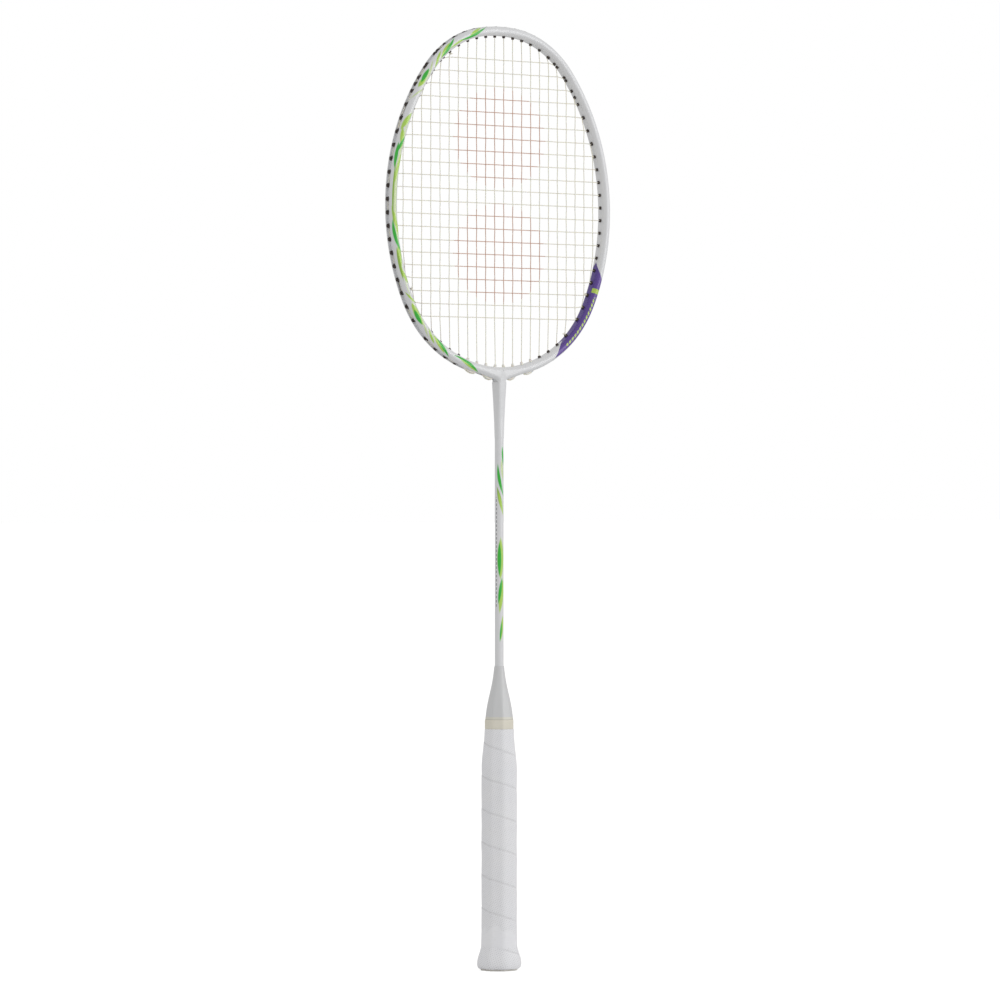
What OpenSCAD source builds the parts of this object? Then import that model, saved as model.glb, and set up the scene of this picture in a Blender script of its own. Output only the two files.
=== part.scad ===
// Badminton racket: hollow carbon head, slim shaft, wooden handle and a woven string bed.
// Origin at the middle of the butt's flat end. +Z runs up the shaft to the head,
// +X runs across the head, and the front face looks along -Y. Millimetres.

/* [Overall] */
// Length from the butt to the top of the head
total_length = 675; // [670:1:680]

/* [Head] */
// Outside length of the head
head_length = 250; // [248:1:252]
// Outside width of the head
head_width = 200; // [199:0.5:201]
// Distance from the top of the head down to its widest point
widest_below_top = 130; // [128:1:132]
// Radius of the arc over the top of the head, at the middle of the tube
top_r = 120; // [116:1:126]
// Radius of the shoulder arcs
shoulder_r = 73; // [72:0.5:74]
// Radius of the side arcs
side_r = 159; // [157:0.5:161]
// Radius of the lower corner arcs
lower_r = 82.5; // [81:0.5:84]
// Radius of the arc above the throat
bottom_r = 97; // [95:0.5:100]
// Width of the head's tube, from its inner wall to its outer wall
tube_w = 6.4; // [6.2:0.1:6.8]
// Depth of the head's tube, from front to back
tube_d = 10.4; // [10:0.1:11]
// Thickness of the carbon wall
wall = 0.9; // [0.8:0.05:1]
// Depth of the string groove round the outside
groove_depth = 1.4; // [1.3:0.05:1.5]
// Width of the string groove
groove_w = 3.8; // [3.6:0.1:4.2]

/* [Strings] */
// Thickness of the string
string_d = 0.7; // [0.6:0.01:0.72]
// Distance between main strings
main_gap = 8.2; // [8.1:0.05:8.3]
// Distance from the top of the head down to the first cross string
first_cross = 23.7; // [23:0.1:24.5]
// Distance between the first two cross strings
cross_gap = 9.48; // [9.4:0.01:9.5]
// How much closer each cross string lies than the one above it
cross_closing = 0.0125; // [0.01:0.0005:0.014]

/* [Shaft] */
// Outside diameter of the shaft
shaft_d = 6.3; // [6:0.1:7]
// Bore of the shaft
shaft_bore = 4.2; // [3.8:0.1:4.4]
// Height of the shaft's lower end, inside the handle
shaft_foot = 62; // [50:1:80]

/* [Handle] */
// Width of the wooden core across its flats
core_flats = 21.6; // [20.6:0.1:22.6]
// Thickness of the wound grip
grip_t = 1.7; // [1.4:0.1:2]
// Width of the grip across its flats at the butt's flare
flare_flats = 31.3; // [30:0.1:32]
// Height of the flare's widest point
flare_z = 4.5; // [4:0.1:5]
// Height at which the flare ends and the handle runs straight
flare_top = 20; // [18:0.5:22]
// Height of the top edge of the grip
grip_top = 172.7; // [170:0.1:176]
// Height over which the handle narrows towards the cone
neck_length = 30; // [24:1:34]
// Height of the tape band at the top of the grip
band_h = 6.5; // [5:0.1:9]
// Width of the cone's lower rim across its flats
cone_flats = 19.5; // [19:0.1:20]
// Height of the cone's top edge
cone_top = 217.6; // [212:0.1:222]

/* [Hidden] */
$fn = 40;
arc_fn = 180;

// Head: the middle line of the tube is five tangent arcs on each side of the axis
half_w = tube_w / 2;
half_d = tube_d / 2;
mid_top = total_length - half_w;
mid_bottom = total_length - head_length + half_w;
mid_half = head_width / 2 - half_w;
widest_z = total_length - widest_below_top;
c_top = [0, mid_top - top_r];
c_side = [mid_half - side_r, widest_z];
c_bottom = [0, mid_bottom + bottom_r];
c_shoulder = meet(c_top, top_r - shoulder_r, c_side, side_r - shoulder_r, -1);
c_lower = meet(c_bottom, bottom_r - lower_r, c_side, side_r - lower_r, 1);
top_end = heading(c_top, c_shoulder);
shoulder_end = heading(c_side, c_shoulder);
side_end = heading(c_side, c_lower);
lower_end = heading(c_bottom, c_lower);
// Each arc: centre, radius, lowest angle, highest angle
arcs = [[c_top, top_r, top_end, 90],
        [c_shoulder, shoulder_r, shoulder_end, top_end],
        [c_side, side_r, side_end, shoulder_end],
        [c_lower, lower_r, lower_end, side_end],
        [c_bottom, bottom_r, -90, lower_end]];
bevel_w = tube_w * 0.28;
bevel_d = tube_d * 0.25;
groove_floor = half_w - groove_depth;
cavity_out = groove_floor - wall;
band_proud = 0.02;
band_angle = 0.15;

// Grommets
barrel_r = 1.05;
bore_r = 0.55;
big_barrel_r = 1.25;
big_bore_r = 0.8;
barrel_gap = 0.05;
barrel_tip = 1.4;
long_tip = 2;
flange_r = 1.7;
flange_t = 0.45;
inner_bulge = 4.4;
outer_bulge = 2.8;
strip_w = 3.2;
strip_reach = 2.4;
throat_tilt = 22;

// Strings
mains = 22;
crosses = 21;
first_right = 11;
string_r = string_d / 2;
weave = string_r + 0.01;
string_sides = 6;
string_seat = string_r + 0.03;
string_level = groove_floor + flange_t + string_seat;
side_by_side = 0.4;
track = 0.85;
edge_gap = 2;
tie_reach = 2.6;
knot_reach = 2.9;
knot_ring_r = 1.15;
knot_wire_r = 0.38;

// Throat
tail_top = mid_bottom - half_w;
tail_length = 45;
tail_foot = tail_top - tail_length;
tail_half = 3.7;
tail_fillet = 2.5;
tail_end_r = shaft_d / 2 + 0.2;
gusset_reach = 20;
gusset_drop = 2.8;
// The tail's outline from its foot up, as [half width, height over the tail's top]: its depth,
// and the round form that softens its corners
tail_depth = [[tail_end_r, -tail_length], [tail_end_r + 0.05, -32], [half_d - 1.4, -16],
              [half_d - 0.6, -5], [half_d, 1], [half_d, tube_w]];
tail_round = [[0, -tail_length], [tail_end_r, -tail_length], [tail_end_r + 0.15, -32],
              [half_d - 0.8, -16], [half_d + 0.2, -5], [3 * tube_d, -1], [3 * tube_d, tube_w],
              [0, tube_w]];
socket_top = tail_top - 5;
fit_gap = 0.05;
joint_angle = 9;
spigot_r = shaft_bore / 2 - fit_gap;
spigot_foot = tail_top - 35;
bottom_outer = bottom_r + half_w;
// Each side of the throat slopes from the hoop to the tail, with a fillet in the corner
gusset_top = [gusset_reach, c_bottom.y - sqrt(pow(bottom_outer, 2) - pow(gusset_reach, 2))];
gusset_foot = [tail_half, tail_top - gusset_drop];
slope = heading(gusset_foot, gusset_top);
fillet_c = gusset_foot + tail_fillet * [1, tan(slope) - 1 / cos(slope)];
fillet_touch = fillet_c + tail_fillet * [-sin(slope), cos(slope)];

// Handle
core_half = core_flats / 2;
flare_half = flare_flats / 2 - grip_t;
butt_half = flare_half - 1.6;
tenon_half = core_half - 1.5;
cap_floor = 2.4;
cap_top = flare_top - 1.5;
grip_foot = 1.2;
neck_half = core_half - 2.4;
core_top = grip_top + band_h + 2;
cone_half = cone_flats / 2;
cone_foot = grip_top + 0.4;
cone_wall = 1.5;
cone_neck_r = 3.5;
cone_bow = 0.05;
cone_round_from = 12;
cone_corner = 0.09;
cone_collar = 9;
band_t = 0.3;
badge_r = 6.5;
badge_t = 0.7;
staple_x = 7.8;
staple_leg = 6;
staple_wire = 0.9;
staple_w = 7;
pin_r = 1;
pin_z = 118;
pin_length = 18;

function heading(a, b) = atan2(b.y - a.y, b.x - a.x);
// Where two circles meet, on the side that s picks
function meet(a, ra, b, rb, s) =
    let (d = b - a, gap = norm(d), along = (ra * ra - rb * rb + gap * gap) / (2 * gap),
         off = sqrt(ra * ra - along * along))
    a + d * along / gap + s * off / gap * [-d.y, d.x];
function unit(v) = v / norm(v);
function reverse(list) = [for (i = [len(list) - 1:-1:0]) list[i]];
function both_sides(list) = concat(list, [for (p = reverse(list)) [-p.x, p.y]]);

// A hole is an arc's centre, its radius and the angle of the hole's axis
function inner(arc) = arc[1] - half_w;
function hole_at_x(x, up) =
    [for (arc = arcs) let (q = (x - arc[0].x) / inner(arc)) if (abs(q) <= 1)
        let (a = up * acos(q)) if (a >= arc[2] && a <= arc[3]) [arc[0], arc[1], a]][0];
function hole_at_z(z) =
    [for (arc = arcs) let (q = (z - arc[0].y) / inner(arc)) if (abs(q) <= 1)
        let (a = asin(q)) if (a >= arc[2] && a <= arc[3]) [arc[0], arc[1], a]][0];
// The same hole with its axis tilted about its mouth on the inner wall
function tilted(hole, by) =
    let (r = hole[1] - half_w, a = hole[2], b = hole[2] + by)
    [hole[0] + r * [cos(a) - cos(b), sin(a) - sin(b)], hole[1], b];
function spot(hole, off, side, y) =
    [side * (hole[0].x + (hole[1] + off) * cos(hole[2])), y,
     hole[0].y + (hole[1] + off) * sin(hole[2])];

// Main string k counts from 11 beside the axis to 21 at the edge; the left ones mirror them
function main_x(k) = (k - first_right + 0.5) * main_gap;
function cross_z(j) = total_length - first_cross - cross_gap * j + cross_closing * j * j;
function top_hole(k) =
    k <= 19 ? hole_at_x(main_x(k), 1) : hole_at_z(cross_z(k == 20 ? 4 : 6));
function bottom_hole(k) =
    k == 11 ? tilted(hole_at_x(main_x(k), -1), throat_tilt)
    : k <= 18 ? hole_at_x(main_x(k), -1)
    : hole_at_z(cross_z(k == 19 ? 20 : k == 20 ? 19 : 17));
function cross_hole(j) = hole_at_z(cross_z(j));
function cross_half(j) = spot(cross_hole(j), -half_w, 1, 0).x;
// Holes that two strings share, or that take a tied end
function top_shared(k) = k == 16 || k >= 20;
function bottom_shared(k) = k >= 18;
function cross_shared(j) = j == 4 || j == 6 || j >= 17;

function mirrored_main(i) = i < first_right ? mains - 1 - i : i;
function side_of(i) = i < first_right ? -1 : 1;
function over(i, j) = (i + j) % 2 == 0 ? weave : -weave;

// A point half way along the groove between two holes
function groove_point(a, b, off, side, y) =
    let (p = (spot(a, -half_w, 1, 0) + spot(b, -half_w, 1, 0)) / 2,
         h = abs(cos(a[2])) < 0.7 ? hole_at_x(p.x, p.z > widest_z ? 1 : -1) : hole_at_z(p.z))
    spot(h, off, side, y);

// The crescent that joins the throat's two neighbouring holes: the middle of its foot on the
// groove's floor, the way it bulges, half the distance between the holes, its radius, its bulge
function floor_spot(k) = let (p = spot(bottom_hole(k), groove_floor, 1, 0)) [p.x, p.z];
function crescent(k) =
    let (a = floor_spot(k), b = floor_spot(k + 1), bulge = k == first_right ? inner_bulge : outer_bulge,
         reach = (norm(b - a) + strip_reach) / 2)
    [(a + b) / 2, unit((a + b) / 2 - c_bottom), norm(b - a) / 2,
     (reach * reach + bulge * bulge) / (2 * bulge), bulge];
function crescent_height(c, along, grow) =
    sqrt(pow(c[3] + grow, 2) - along * along) - c[3] + c[4];
// The string's points over a crescent, from its hole nearer the axis to the other one
function over_crescent(k, side) =
    let (c = crescent(k), way = [-c[1].y, c[1].x])
    [for (t = [-0.5:0.5:0.5])
        let (p = c[0] + way * t * c[2] + c[1] * crescent_height(c, t * c[2], string_seat))
        [side * p.x, 0, p.y]];
function bottom_level(k) =
    k > first_right + 3 ? string_level
    : let (c = crescent(k - (k - first_right) % 2))
      groove_floor + crescent_height(c, c[2], string_seat);

function main_run(i) =
    let (k = mirrored_main(i), s = side_of(i), x = main_x(k),
         yt = top_shared(k) ? side_by_side : 0, yb = bottom_shared(k) ? side_by_side : 0,
         tip = -half_w - barrel_tip)
    concat([spot(bottom_hole(k), bottom_level(k), s, yb), spot(bottom_hole(k), tip, s, yb)],
           [for (j = [crosses - 1:-1:0]) if (x < cross_half(j) - edge_gap)
               [s * x, over(i, j), cross_z(j)]],
           [spot(top_hole(k), tip, s, yt), spot(top_hole(k), string_level, s, yt)]);
function main_turn(i) =
    let (k = mirrored_main(i), m = mirrored_main(i + 1), s = side_of(i), low = min(k, m))
    i == first_right - 1 ? [[0, 0, mid_top + string_level]]
    : i % 2 == 0
        ? [groove_point(top_hole(k), top_hole(m), string_level, s, low >= 16 ? track : 0)]
    : low <= first_right + 2
        ? (s > 0 ? over_crescent(low, s) : reverse(over_crescent(low, s)))
    : [groove_point(bottom_hole(k), bottom_hole(m), string_level, s,
                    low >= 18 ? side_by_side : 0)];
// The end of a main string, tied off through the next hole along
function main_tail(side) =
    [spot(cross_hole(18), string_level, side, side_by_side),
     spot(cross_hole(18), -half_w - barrel_tip, side, side_by_side),
     spot(cross_hole(18), -half_w - tie_reach, side, side_by_side)];
main_path = concat(
    reverse(main_tail(-1)),
    [for (i = [0:mains - 1]) each concat(
        i % 2 == 0 ? main_run(i) : reverse(main_run(i)),
        i < mains - 1 ? main_turn(i) : [])],
    main_tail(1));

function cross_run(j) =
    let (h = cross_hole(j), y = cross_shared(j) ? -side_by_side : 0,
         tip = -half_w - barrel_tip)
    concat([spot(h, string_level, -1, y), spot(h, tip, -1, y)],
           [for (i = [0:mains - 1]) let (k = mirrored_main(i))
               if (main_x(k) < cross_half(j) - edge_gap)
               [side_of(i) * main_x(k), -over(i, j), cross_z(j)]],
           [spot(h, tip, 1, y), spot(h, string_level, 1, y)]);
function cross_turn(j) =
    groove_point(cross_hole(j), cross_hole(j + 1), string_level, j % 2 == 0 ? 1 : -1,
                 j < 3 ? -track : cross_shared(j) && cross_shared(j + 1) ? -side_by_side : 0);
function tie(hole, side) =
    [spot(hole, string_level, side, -side_by_side),
     spot(hole, -half_w - barrel_tip, side, -side_by_side),
     spot(hole, -half_w - tie_reach, side, -side_by_side)];
cross_path = concat(
    reverse(tie(top_hole(16), -1)),
    [for (j = [0:crosses - 1]) each concat(
        j % 2 == 0 ? cross_run(j) : reverse(cross_run(j)),
        j < crosses - 1 ? [cross_turn(j)] : [])],
    tie(bottom_hole(18), 1));

// A tube along a path that lies close to the XZ plane, with mitred corners
function tube_points(path, r, n) =
    [for (i = [0:len(path) - 1])
        let (d0 = unit(path[i] - path[max(i - 1, 0)] + (i == 0 ? path[1] - path[0] : [0, 0, 0])),
             last = len(path) - 1,
             d1 = i == last ? d0 : unit(path[i + 1] - path[i]),
             t = unit(d0 + d1), out = unit(cross([0, 1, 0], t)), up = cross(t, out),
             mitre = min(1.5, 1 / max(0.6, d0 * t)))
        for (s = [0:n - 1])
            path[i] + r * (out * mitre * cos(360 * s / n) + up * sin(360 * s / n))];
function tube_faces(count, n) =
    concat([[for (s = [0:n - 1]) s]],
           [for (i = [0:count - 2], s = [0:n - 1])
               let (a = i * n + s, b = i * n + (s + 1) % n) each [[a, a + n, b], [b, a + n, b + n]]],
           [[for (s = [n - 1:-1:0]) (count - 1) * n + s]]);

// Half width of what the grip is wound on, from the butt up
function under_grip(z) =
    z < flare_z ? butt_half + (flare_half - butt_half) * sin(90 * z / flare_z)
    : z < flare_top ? core_half + (flare_half - core_half)
        * (0.5 + 0.5 * cos(180 * (z - flare_z) / (flare_top - flare_z)))
    : z <= grip_top - neck_length ? core_half
    : core_half - (core_half - neck_half) * (z - grip_top + neck_length) / neck_length;
flare_steps = [for (i = [0:3]) flare_z * i / 3];
swell_steps = [for (i = [1:7]) flare_z + (flare_top - flare_z) * i / 7];
cone_steps = [for (i = [0:10]) i / 10];
function cone_r(t) = cone_neck_r + (cone_half - cone_neck_r) * (t - cone_bow * sin(360 * t));
function cone_z(t) = cone_top - (cone_top - grip_top - band_h) * t;
// How far the cone's corners may stand out past its flats, as a share of its half width
function corner_at(z) = let (from = cone_top - cone_round_from)
    cone_corner * max(0, from - z) / (from - grip_top - band_h);

module arc_sweep(arc, from, to)
    translate([arc[0].x, 0, arc[0].y]) rotate([90, 0, 0]) rotate([0, 0, from])
        rotate_extrude(angle = to - from, $fn = arc_fn) translate([arc[1], 0]) children();

// The tube once round the head, with a hair-thin band over each joint between two arcs
module hoop() {
    arc_sweep(arcs[0], top_end, 180 - top_end) tube_section(0);
    arc_sweep(arcs[4], -180 - lower_end, lower_end) tube_section(0);
    for (flip = [0, 1]) mirror([flip, 0, 0]) {
        for (i = [1:3]) arc_sweep(arcs[i], arcs[i][2], arcs[i][3]) tube_section(0);
        for (joint = [[0, top_end], [2, shoulder_end], [2, side_end], [4, lower_end]])
            arc_sweep(arcs[joint[0]], joint[1] - band_angle, joint[1] + band_angle)
                tube_section(band_proud);
    }
}

// Half of the tube's outline, from the groove to the inner wall
function tube_side(proud) =
    [[groove_floor + proud, groove_w / 2 - proud], [half_w + proud, groove_w / 2 - proud],
     [half_w + proud, half_d - bevel_d], [half_w - bevel_w, half_d + proud],
     [bevel_w - half_w, half_d + proud], [-half_w - proud, half_d - bevel_d]];
module tube_section(proud) difference() {
    polygon(concat(tube_side(proud), [for (p = reverse(tube_side(proud))) [p.x, -p.y]]));
    cavity_section(proud);
}
module cavity_section(gap) {
    low = wall - half_w + gap;
    high = cavity_out - gap;
    deep = half_d - wall - gap;
    polygon([[low, bevel_d - half_d + wall], [low + bevel_w * 0.7, -deep], [high, -deep],
             [high, deep], [low + bevel_w * 0.7, deep], [low, half_d - bevel_d - wall]]);
}

// Put the children at a hole, with +Z pointing out of the head and 0 on the tube's middle
module at_hole(hole, side)
    mirror([side < 0 ? 1 : 0, 0, 0]) translate([hole[0].x, 0, hole[0].y])
        rotate([0, 90 - hole[2], 0]) translate([0, 0, hole[1]]) children();
module drill(hole, side, r) at_hole(hole, side)
    cylinder(h = 3 * tube_w, r = r + barrel_gap, center = true);

module grommet(r, bore) rotate_extrude()
    polygon([[bore, -half_w - barrel_tip], [r, -half_w - barrel_tip], [r, groove_floor],
             [flange_r, groove_floor], [flange_r, groove_floor + flange_t],
             [bore, groove_floor + flange_t]]);

module throat() difference() {
    intersection() {
        rotate([90, 0, 0]) linear_extrude(height = 2 * tube_d, center = true)
            polygon(both_sides([[gusset_top.x, tail_top + tube_w], gusset_top, fillet_touch,
                                [fillet_touch.x, fillet_c.y], [tail_half, fillet_c.y],
                                [tail_end_r, tail_foot]]));
        translate([0, 0, tail_top]) rotate([90, 0, 90])
            linear_extrude(height = 4 * gusset_reach, center = true)
                polygon(both_sides(tail_depth));
        translate([0, 0, tail_top]) rotate_extrude() polygon(tail_round);
    }
    for (s = [-1, 1])
        translate([s * fillet_c.x, 0, fillet_c.y]) rotate([90, 0, 0])
            cylinder(h = 3 * tube_d, r = tail_fillet, center = true);
    translate([0, 0, c_bottom.y]) rotate([90, 0, 0])
        cylinder(h = 3 * tube_d, r = bottom_r + (groove_floor + cavity_out) / 2, center = true,
                 $fn = arc_fn);
}

// The string groove, carried through the throat's fillets beside the tail
module throat_groove() for (flip = [0, 1]) mirror([flip, 0, 0])
    arc_sweep([c_bottom, bottom_r], -90 + asin((tail_half + 0.9) / bottom_outer),
              -90 + asin((gusset_reach + 3) / bottom_outer))
        translate([groove_floor, -groove_w / 2]) square([tail_fillet + groove_depth + 1, groove_w]);

module head_frame() color("white") difference() {
    union() {
        hoop();
        throat();
    }
    throat_groove();
    for (s = [-1, 1]) {
        for (k = [first_right:19])
            drill(top_hole(k), s, top_shared(k) ? big_barrel_r : barrel_r);
        for (k = [first_right:18])
            drill(bottom_hole(k), s, bottom_shared(k) ? big_barrel_r : barrel_r);
        for (j = [0:crosses - 1])
            drill(cross_hole(j), s, cross_shared(j) ? big_barrel_r : barrel_r);
    }
    translate([0, 0, tail_foot - 1]) cylinder(h = socket_top - tail_foot + 1,
                                              r = shaft_d / 2 + fit_gap);
    translate([0, 0, tail_foot]) cylinder(h = mid_bottom - tail_foot, r = spigot_r + fit_gap);
}

module t_joint() color("silver") difference() {
    union() {
        arc_sweep(arcs[4], -90 - joint_angle, -90 + joint_angle) cavity_section(fit_gap);
        translate([0, 0, spigot_foot]) cylinder(h = mid_bottom - spigot_foot, r = spigot_r);
    }
    for (s = [-1, 1], k = [first_right, first_right + 1]) drill(bottom_hole(k), s, barrel_r);
}

module shaft() color("whitesmoke") difference() {
    translate([0, 0, shaft_foot]) cylinder(h = socket_top - shaft_foot, r = shaft_d / 2);
    translate([0, 0, shaft_foot - 1])
        cylinder(h = socket_top - shaft_foot + 2, r = shaft_bore / 2);
    pin_hole();
}
module pin_hole() translate([0, 0, pin_z]) rotate([0, 90, 0])
    cylinder(h = 2 * core_flats, r = pin_r, center = true);

// An eight-sided bar whose half width follows the points [half width, z]
module octagon_bar(side) polyhedron(
    [for (p = side, k = [0:7]) let (a = 22.5 + 45 * k, r = p.x / cos(22.5))
        [r * cos(a), r * sin(a), p.y]],
    tube_faces(len(side), 8));
module octagon(half) rotate(22.5) circle(r = half / cos(22.5), $fn = 8);

module for_flats() intersection_for (turn = [0:45:135]) rotate([90, 0, turn]) children();
// Flats on eight sides, and a round neck where they run out
module cone_shell(shrink, foot) intersection() {
    for_flats() linear_extrude(height = 4 * core_flats, center = true)
        polygon(both_sides(concat(
            [[cone_half - shrink, foot]],
            [for (t = reverse(cone_steps)) [cone_r(t) - shrink, cone_z(t)]])));
    rotate_extrude() polygon(concat(
        [[0, foot], [cone_half * (1 + cone_corner) - shrink, foot]],
        [for (t = reverse(cone_steps)) [cone_r(t) * (1 + corner_at(cone_z(t))) - shrink, cone_z(t)]],
        [[0, cone_top]]));
}
module cone_cap() color("white") difference() {
    cone_shell(0, cone_foot);
    intersection() {
        cone_shell(cone_wall, cone_foot - 0.01);
        translate([0, 0, cone_foot - 1]) cylinder(h = cone_top - cone_collar - cone_foot + 1,
                                                  r = core_flats);
    }
    cylinder(h = cone_top + 1, r = shaft_d / 2 + fit_gap);
}

module handle_core() color("burlywood") difference() {
    octagon_bar([[tenon_half - 0.1, cap_floor + 0.1], [tenon_half - 0.1, cap_top],
                 [core_half, cap_top], [core_half, grip_top - neck_length],
                 [neck_half, grip_top - 0.1], [cone_half - cone_wall - 0.2, grip_top],
                 [cone_half - cone_wall - 0.2, core_top]]);
    translate([0, 0, shaft_foot]) cylinder(h = core_top, r = shaft_d / 2 + fit_gap);
    pin_hole();
    for (s = [-1, 1]) translate([s * staple_x, 0, cap_floor])
        staple_legs(staple_wire / 2, staple_leg);
}
module handle_pin() color("gray") translate([0, 0, pin_z]) rotate([0, 90, 0])
    cylinder(h = pin_length, r = pin_r, center = true);

module butt_cap() color("ivory") difference() {
    octagon_bar(concat([for (z = flare_steps) [under_grip(z), z]],
                       [for (z = swell_steps) if (z < cap_top) [under_grip(z), z]],
                       [[under_grip(cap_top), cap_top]]));
    octagon_bar([[tenon_half, cap_floor], [tenon_half, cap_top + 1]]);
    translate([0, 0, -1]) cylinder(h = 1 + badge_t, r = badge_r);
    for (s = [-1, 1]) translate([s * staple_x, 0, -1]) staple_legs(staple_wire / 2, staple_leg);
    for (s = [-1, 1]) translate([s * staple_x, 0, staple_wire / 2])
        cube([staple_wire, staple_w + staple_wire, 2 * staple_wire], center = true);
}
module staple_legs(r, h) for (y = [-1, 1])
    translate([0, y * staple_w / 2, 0]) cylinder(h = h, r = r);
module butt_staples() color("gray") for (s = [-1, 1]) translate([s * staple_x, 0, 0.2]) {
    staple_legs(staple_wire / 2, staple_leg);
    translate([0, 0, staple_wire / 2]) rotate([90, 0, 0])
        cylinder(h = staple_w, r = staple_wire / 2, center = true);
}
module butt_badge() color("gainsboro") translate([0, 0, 0.1])
    cylinder(h = badge_t - 0.1, r = badge_r - 0.1);

module grip_tape() color("white") difference() {
    octagon_bar(concat([[under_grip(grip_foot) + grip_t, grip_foot]],
                       [for (z = flare_steps) if (z > grip_foot) [under_grip(z) + grip_t, z]],
                       [for (z = swell_steps) [under_grip(z) + grip_t, z]],
                       [[core_half + grip_t, grip_top - neck_length],
                        [cone_half + band_t + 0.2, grip_top]]));
    octagon_bar(concat([[under_grip(grip_foot), grip_foot - 0.01]],
                       [for (z = flare_steps) if (z > grip_foot) [under_grip(z), z]],
                       [for (z = swell_steps) [under_grip(z), z]],
                       [[core_half, grip_top - neck_length], [neck_half, grip_top + 0.01]]));
}
module finishing_tape() color("beige") difference() {
    translate([0, 0, grip_top]) linear_extrude(height = band_h) octagon(cone_half + band_t);
    translate([0, 0, grip_top - 1]) linear_extrude(height = band_h + 2) octagon(cone_half);
}

module grommets_top() color("black") for (s = [-1, 1], k = [first_right:19])
    if (!top_shared(k)) at_hole(top_hole(k), s) grommet(barrel_r, bore_r);
module side_grommets(s) color("black") for (j = [0:crosses - 1])
    if (!cross_shared(j)) at_hole(cross_hole(j), s) grommet(barrel_r, bore_r);
module grommets_left() side_grommets(-1);
module grommets_right() side_grommets(1);
module grommets_bottom() color("black") for (s = [-1, 1], k = [first_right + 4:17])
    at_hole(bottom_hole(k), s) grommet(barrel_r, bore_r);
module shared_grommets(s) color("black") {
    at_hole(top_hole(16), s) grommet(big_barrel_r, big_bore_r);
    for (j = [0:crosses - 1]) if (cross_shared(j))
        at_hole(cross_hole(j), s) grommet(big_barrel_r, big_bore_r);
    at_hole(bottom_hole(18), s) grommet(big_barrel_r, big_bore_r);
}
module shared_grommets_left() shared_grommets(-1);
module shared_grommets_right() shared_grommets(1);

// Two barrels joined by a crescent that the string bends round
module throat_strip(k, s) mirror([s < 0 ? 1 : 0, 0, 0]) {
    c = crescent(k);
    tip = half_w + long_tip;
    color("wheat") difference() {
        union() {
            translate([c[0].x, 0, c[0].y]) rotate([0, atan2(c[1].x, c[1].y), 0]) intersection() {
                translate([0, 0, c[4] - c[3]]) rotate([90, 0, 0])
                    cylinder(h = strip_w, r = c[3], center = true, $fn = arc_fn);
                translate([0, 0, c[4] - 0.05]) cube([6 * c[3], strip_w, 2 * c[4]], center = true);
            }
            for (hole = [bottom_hole(k), bottom_hole(k + 1)]) at_hole(hole, 1)
                translate([0, 0, -tip]) cylinder(h = tip + groove_floor + 0.5, r = barrel_r);
        }
        for (hole = [bottom_hole(k), bottom_hole(k + 1)]) at_hole(hole, 1)
            cylinder(h = 4 * tube_w, r = bore_r, center = true);
    }
}
module throat_grommet_outer_left() throat_strip(first_right + 2, -1);
module throat_grommet_inner_left() throat_strip(first_right, -1);
module throat_grommet_inner_right() throat_strip(first_right, 1);
module throat_grommet_outer_right() throat_strip(first_right + 2, 1);

module main_string() color("ivory")
    polyhedron(tube_points(main_path, string_r, string_sides),
               tube_faces(len(main_path), string_sides));
module cross_string() color("ivory")
    polyhedron(tube_points(cross_path, string_r, string_sides),
               tube_faces(len(cross_path), string_sides));
// Two turns of a tied end round the string it is tied to
module knot(hole, side) at_hole(hole, side) for (i = [0, 1])
    translate([0, 0, -half_w - knot_reach - 1.5 * knot_wire_r * i])
        rotate_extrude() translate([knot_ring_r, 0]) circle(r = knot_wire_r);
module string_knots() color("ivory") {
    for (s = [-1, 1]) knot(cross_hole(18), s);
    knot(top_hole(16), -1);
    knot(bottom_hole(18), 1);
}

head_frame();
t_joint();
shaft();
cone_cap();
handle_core();
handle_pin();
butt_cap();
butt_staples();
butt_badge();
grip_tape();
finishing_tape();
grommets_top();
grommets_left();
grommets_right();
grommets_bottom();
shared_grommets_left();
shared_grommets_right();
throat_grommet_outer_left();
throat_grommet_inner_left();
throat_grommet_inner_right();
throat_grommet_outer_right();
main_string();
cross_string();
string_knots();
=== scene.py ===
"""A badminton racket: its looks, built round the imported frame.

Lengths on the racket are in millimetres until a mesh is made, and the camera, lights and floor are in
metres. Angles are in radians unless a comment says degrees.
+Z runs up the shaft, +X across the head, and the front face looks along -Y.
"""
import math

import bpy
import numpy as np
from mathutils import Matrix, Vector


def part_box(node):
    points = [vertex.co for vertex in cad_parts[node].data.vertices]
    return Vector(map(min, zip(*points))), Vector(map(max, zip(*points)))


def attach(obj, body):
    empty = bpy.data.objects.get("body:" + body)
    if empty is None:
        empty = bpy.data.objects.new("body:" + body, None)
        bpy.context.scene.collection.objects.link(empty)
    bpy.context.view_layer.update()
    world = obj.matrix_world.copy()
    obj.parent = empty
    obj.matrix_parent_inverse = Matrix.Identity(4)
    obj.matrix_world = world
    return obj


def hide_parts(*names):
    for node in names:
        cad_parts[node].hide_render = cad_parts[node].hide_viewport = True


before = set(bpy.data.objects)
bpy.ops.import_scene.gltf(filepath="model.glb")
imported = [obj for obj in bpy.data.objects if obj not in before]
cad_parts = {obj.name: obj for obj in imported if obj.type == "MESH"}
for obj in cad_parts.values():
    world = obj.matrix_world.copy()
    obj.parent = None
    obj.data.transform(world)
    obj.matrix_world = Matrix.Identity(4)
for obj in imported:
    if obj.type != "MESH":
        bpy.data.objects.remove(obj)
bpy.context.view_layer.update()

MM = 0.001
ROOT = "root"


def box_mm(node):
    """A CAD node's lowest and highest corners, in millimetres."""
    return [np.array(corner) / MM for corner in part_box(node)]


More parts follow.
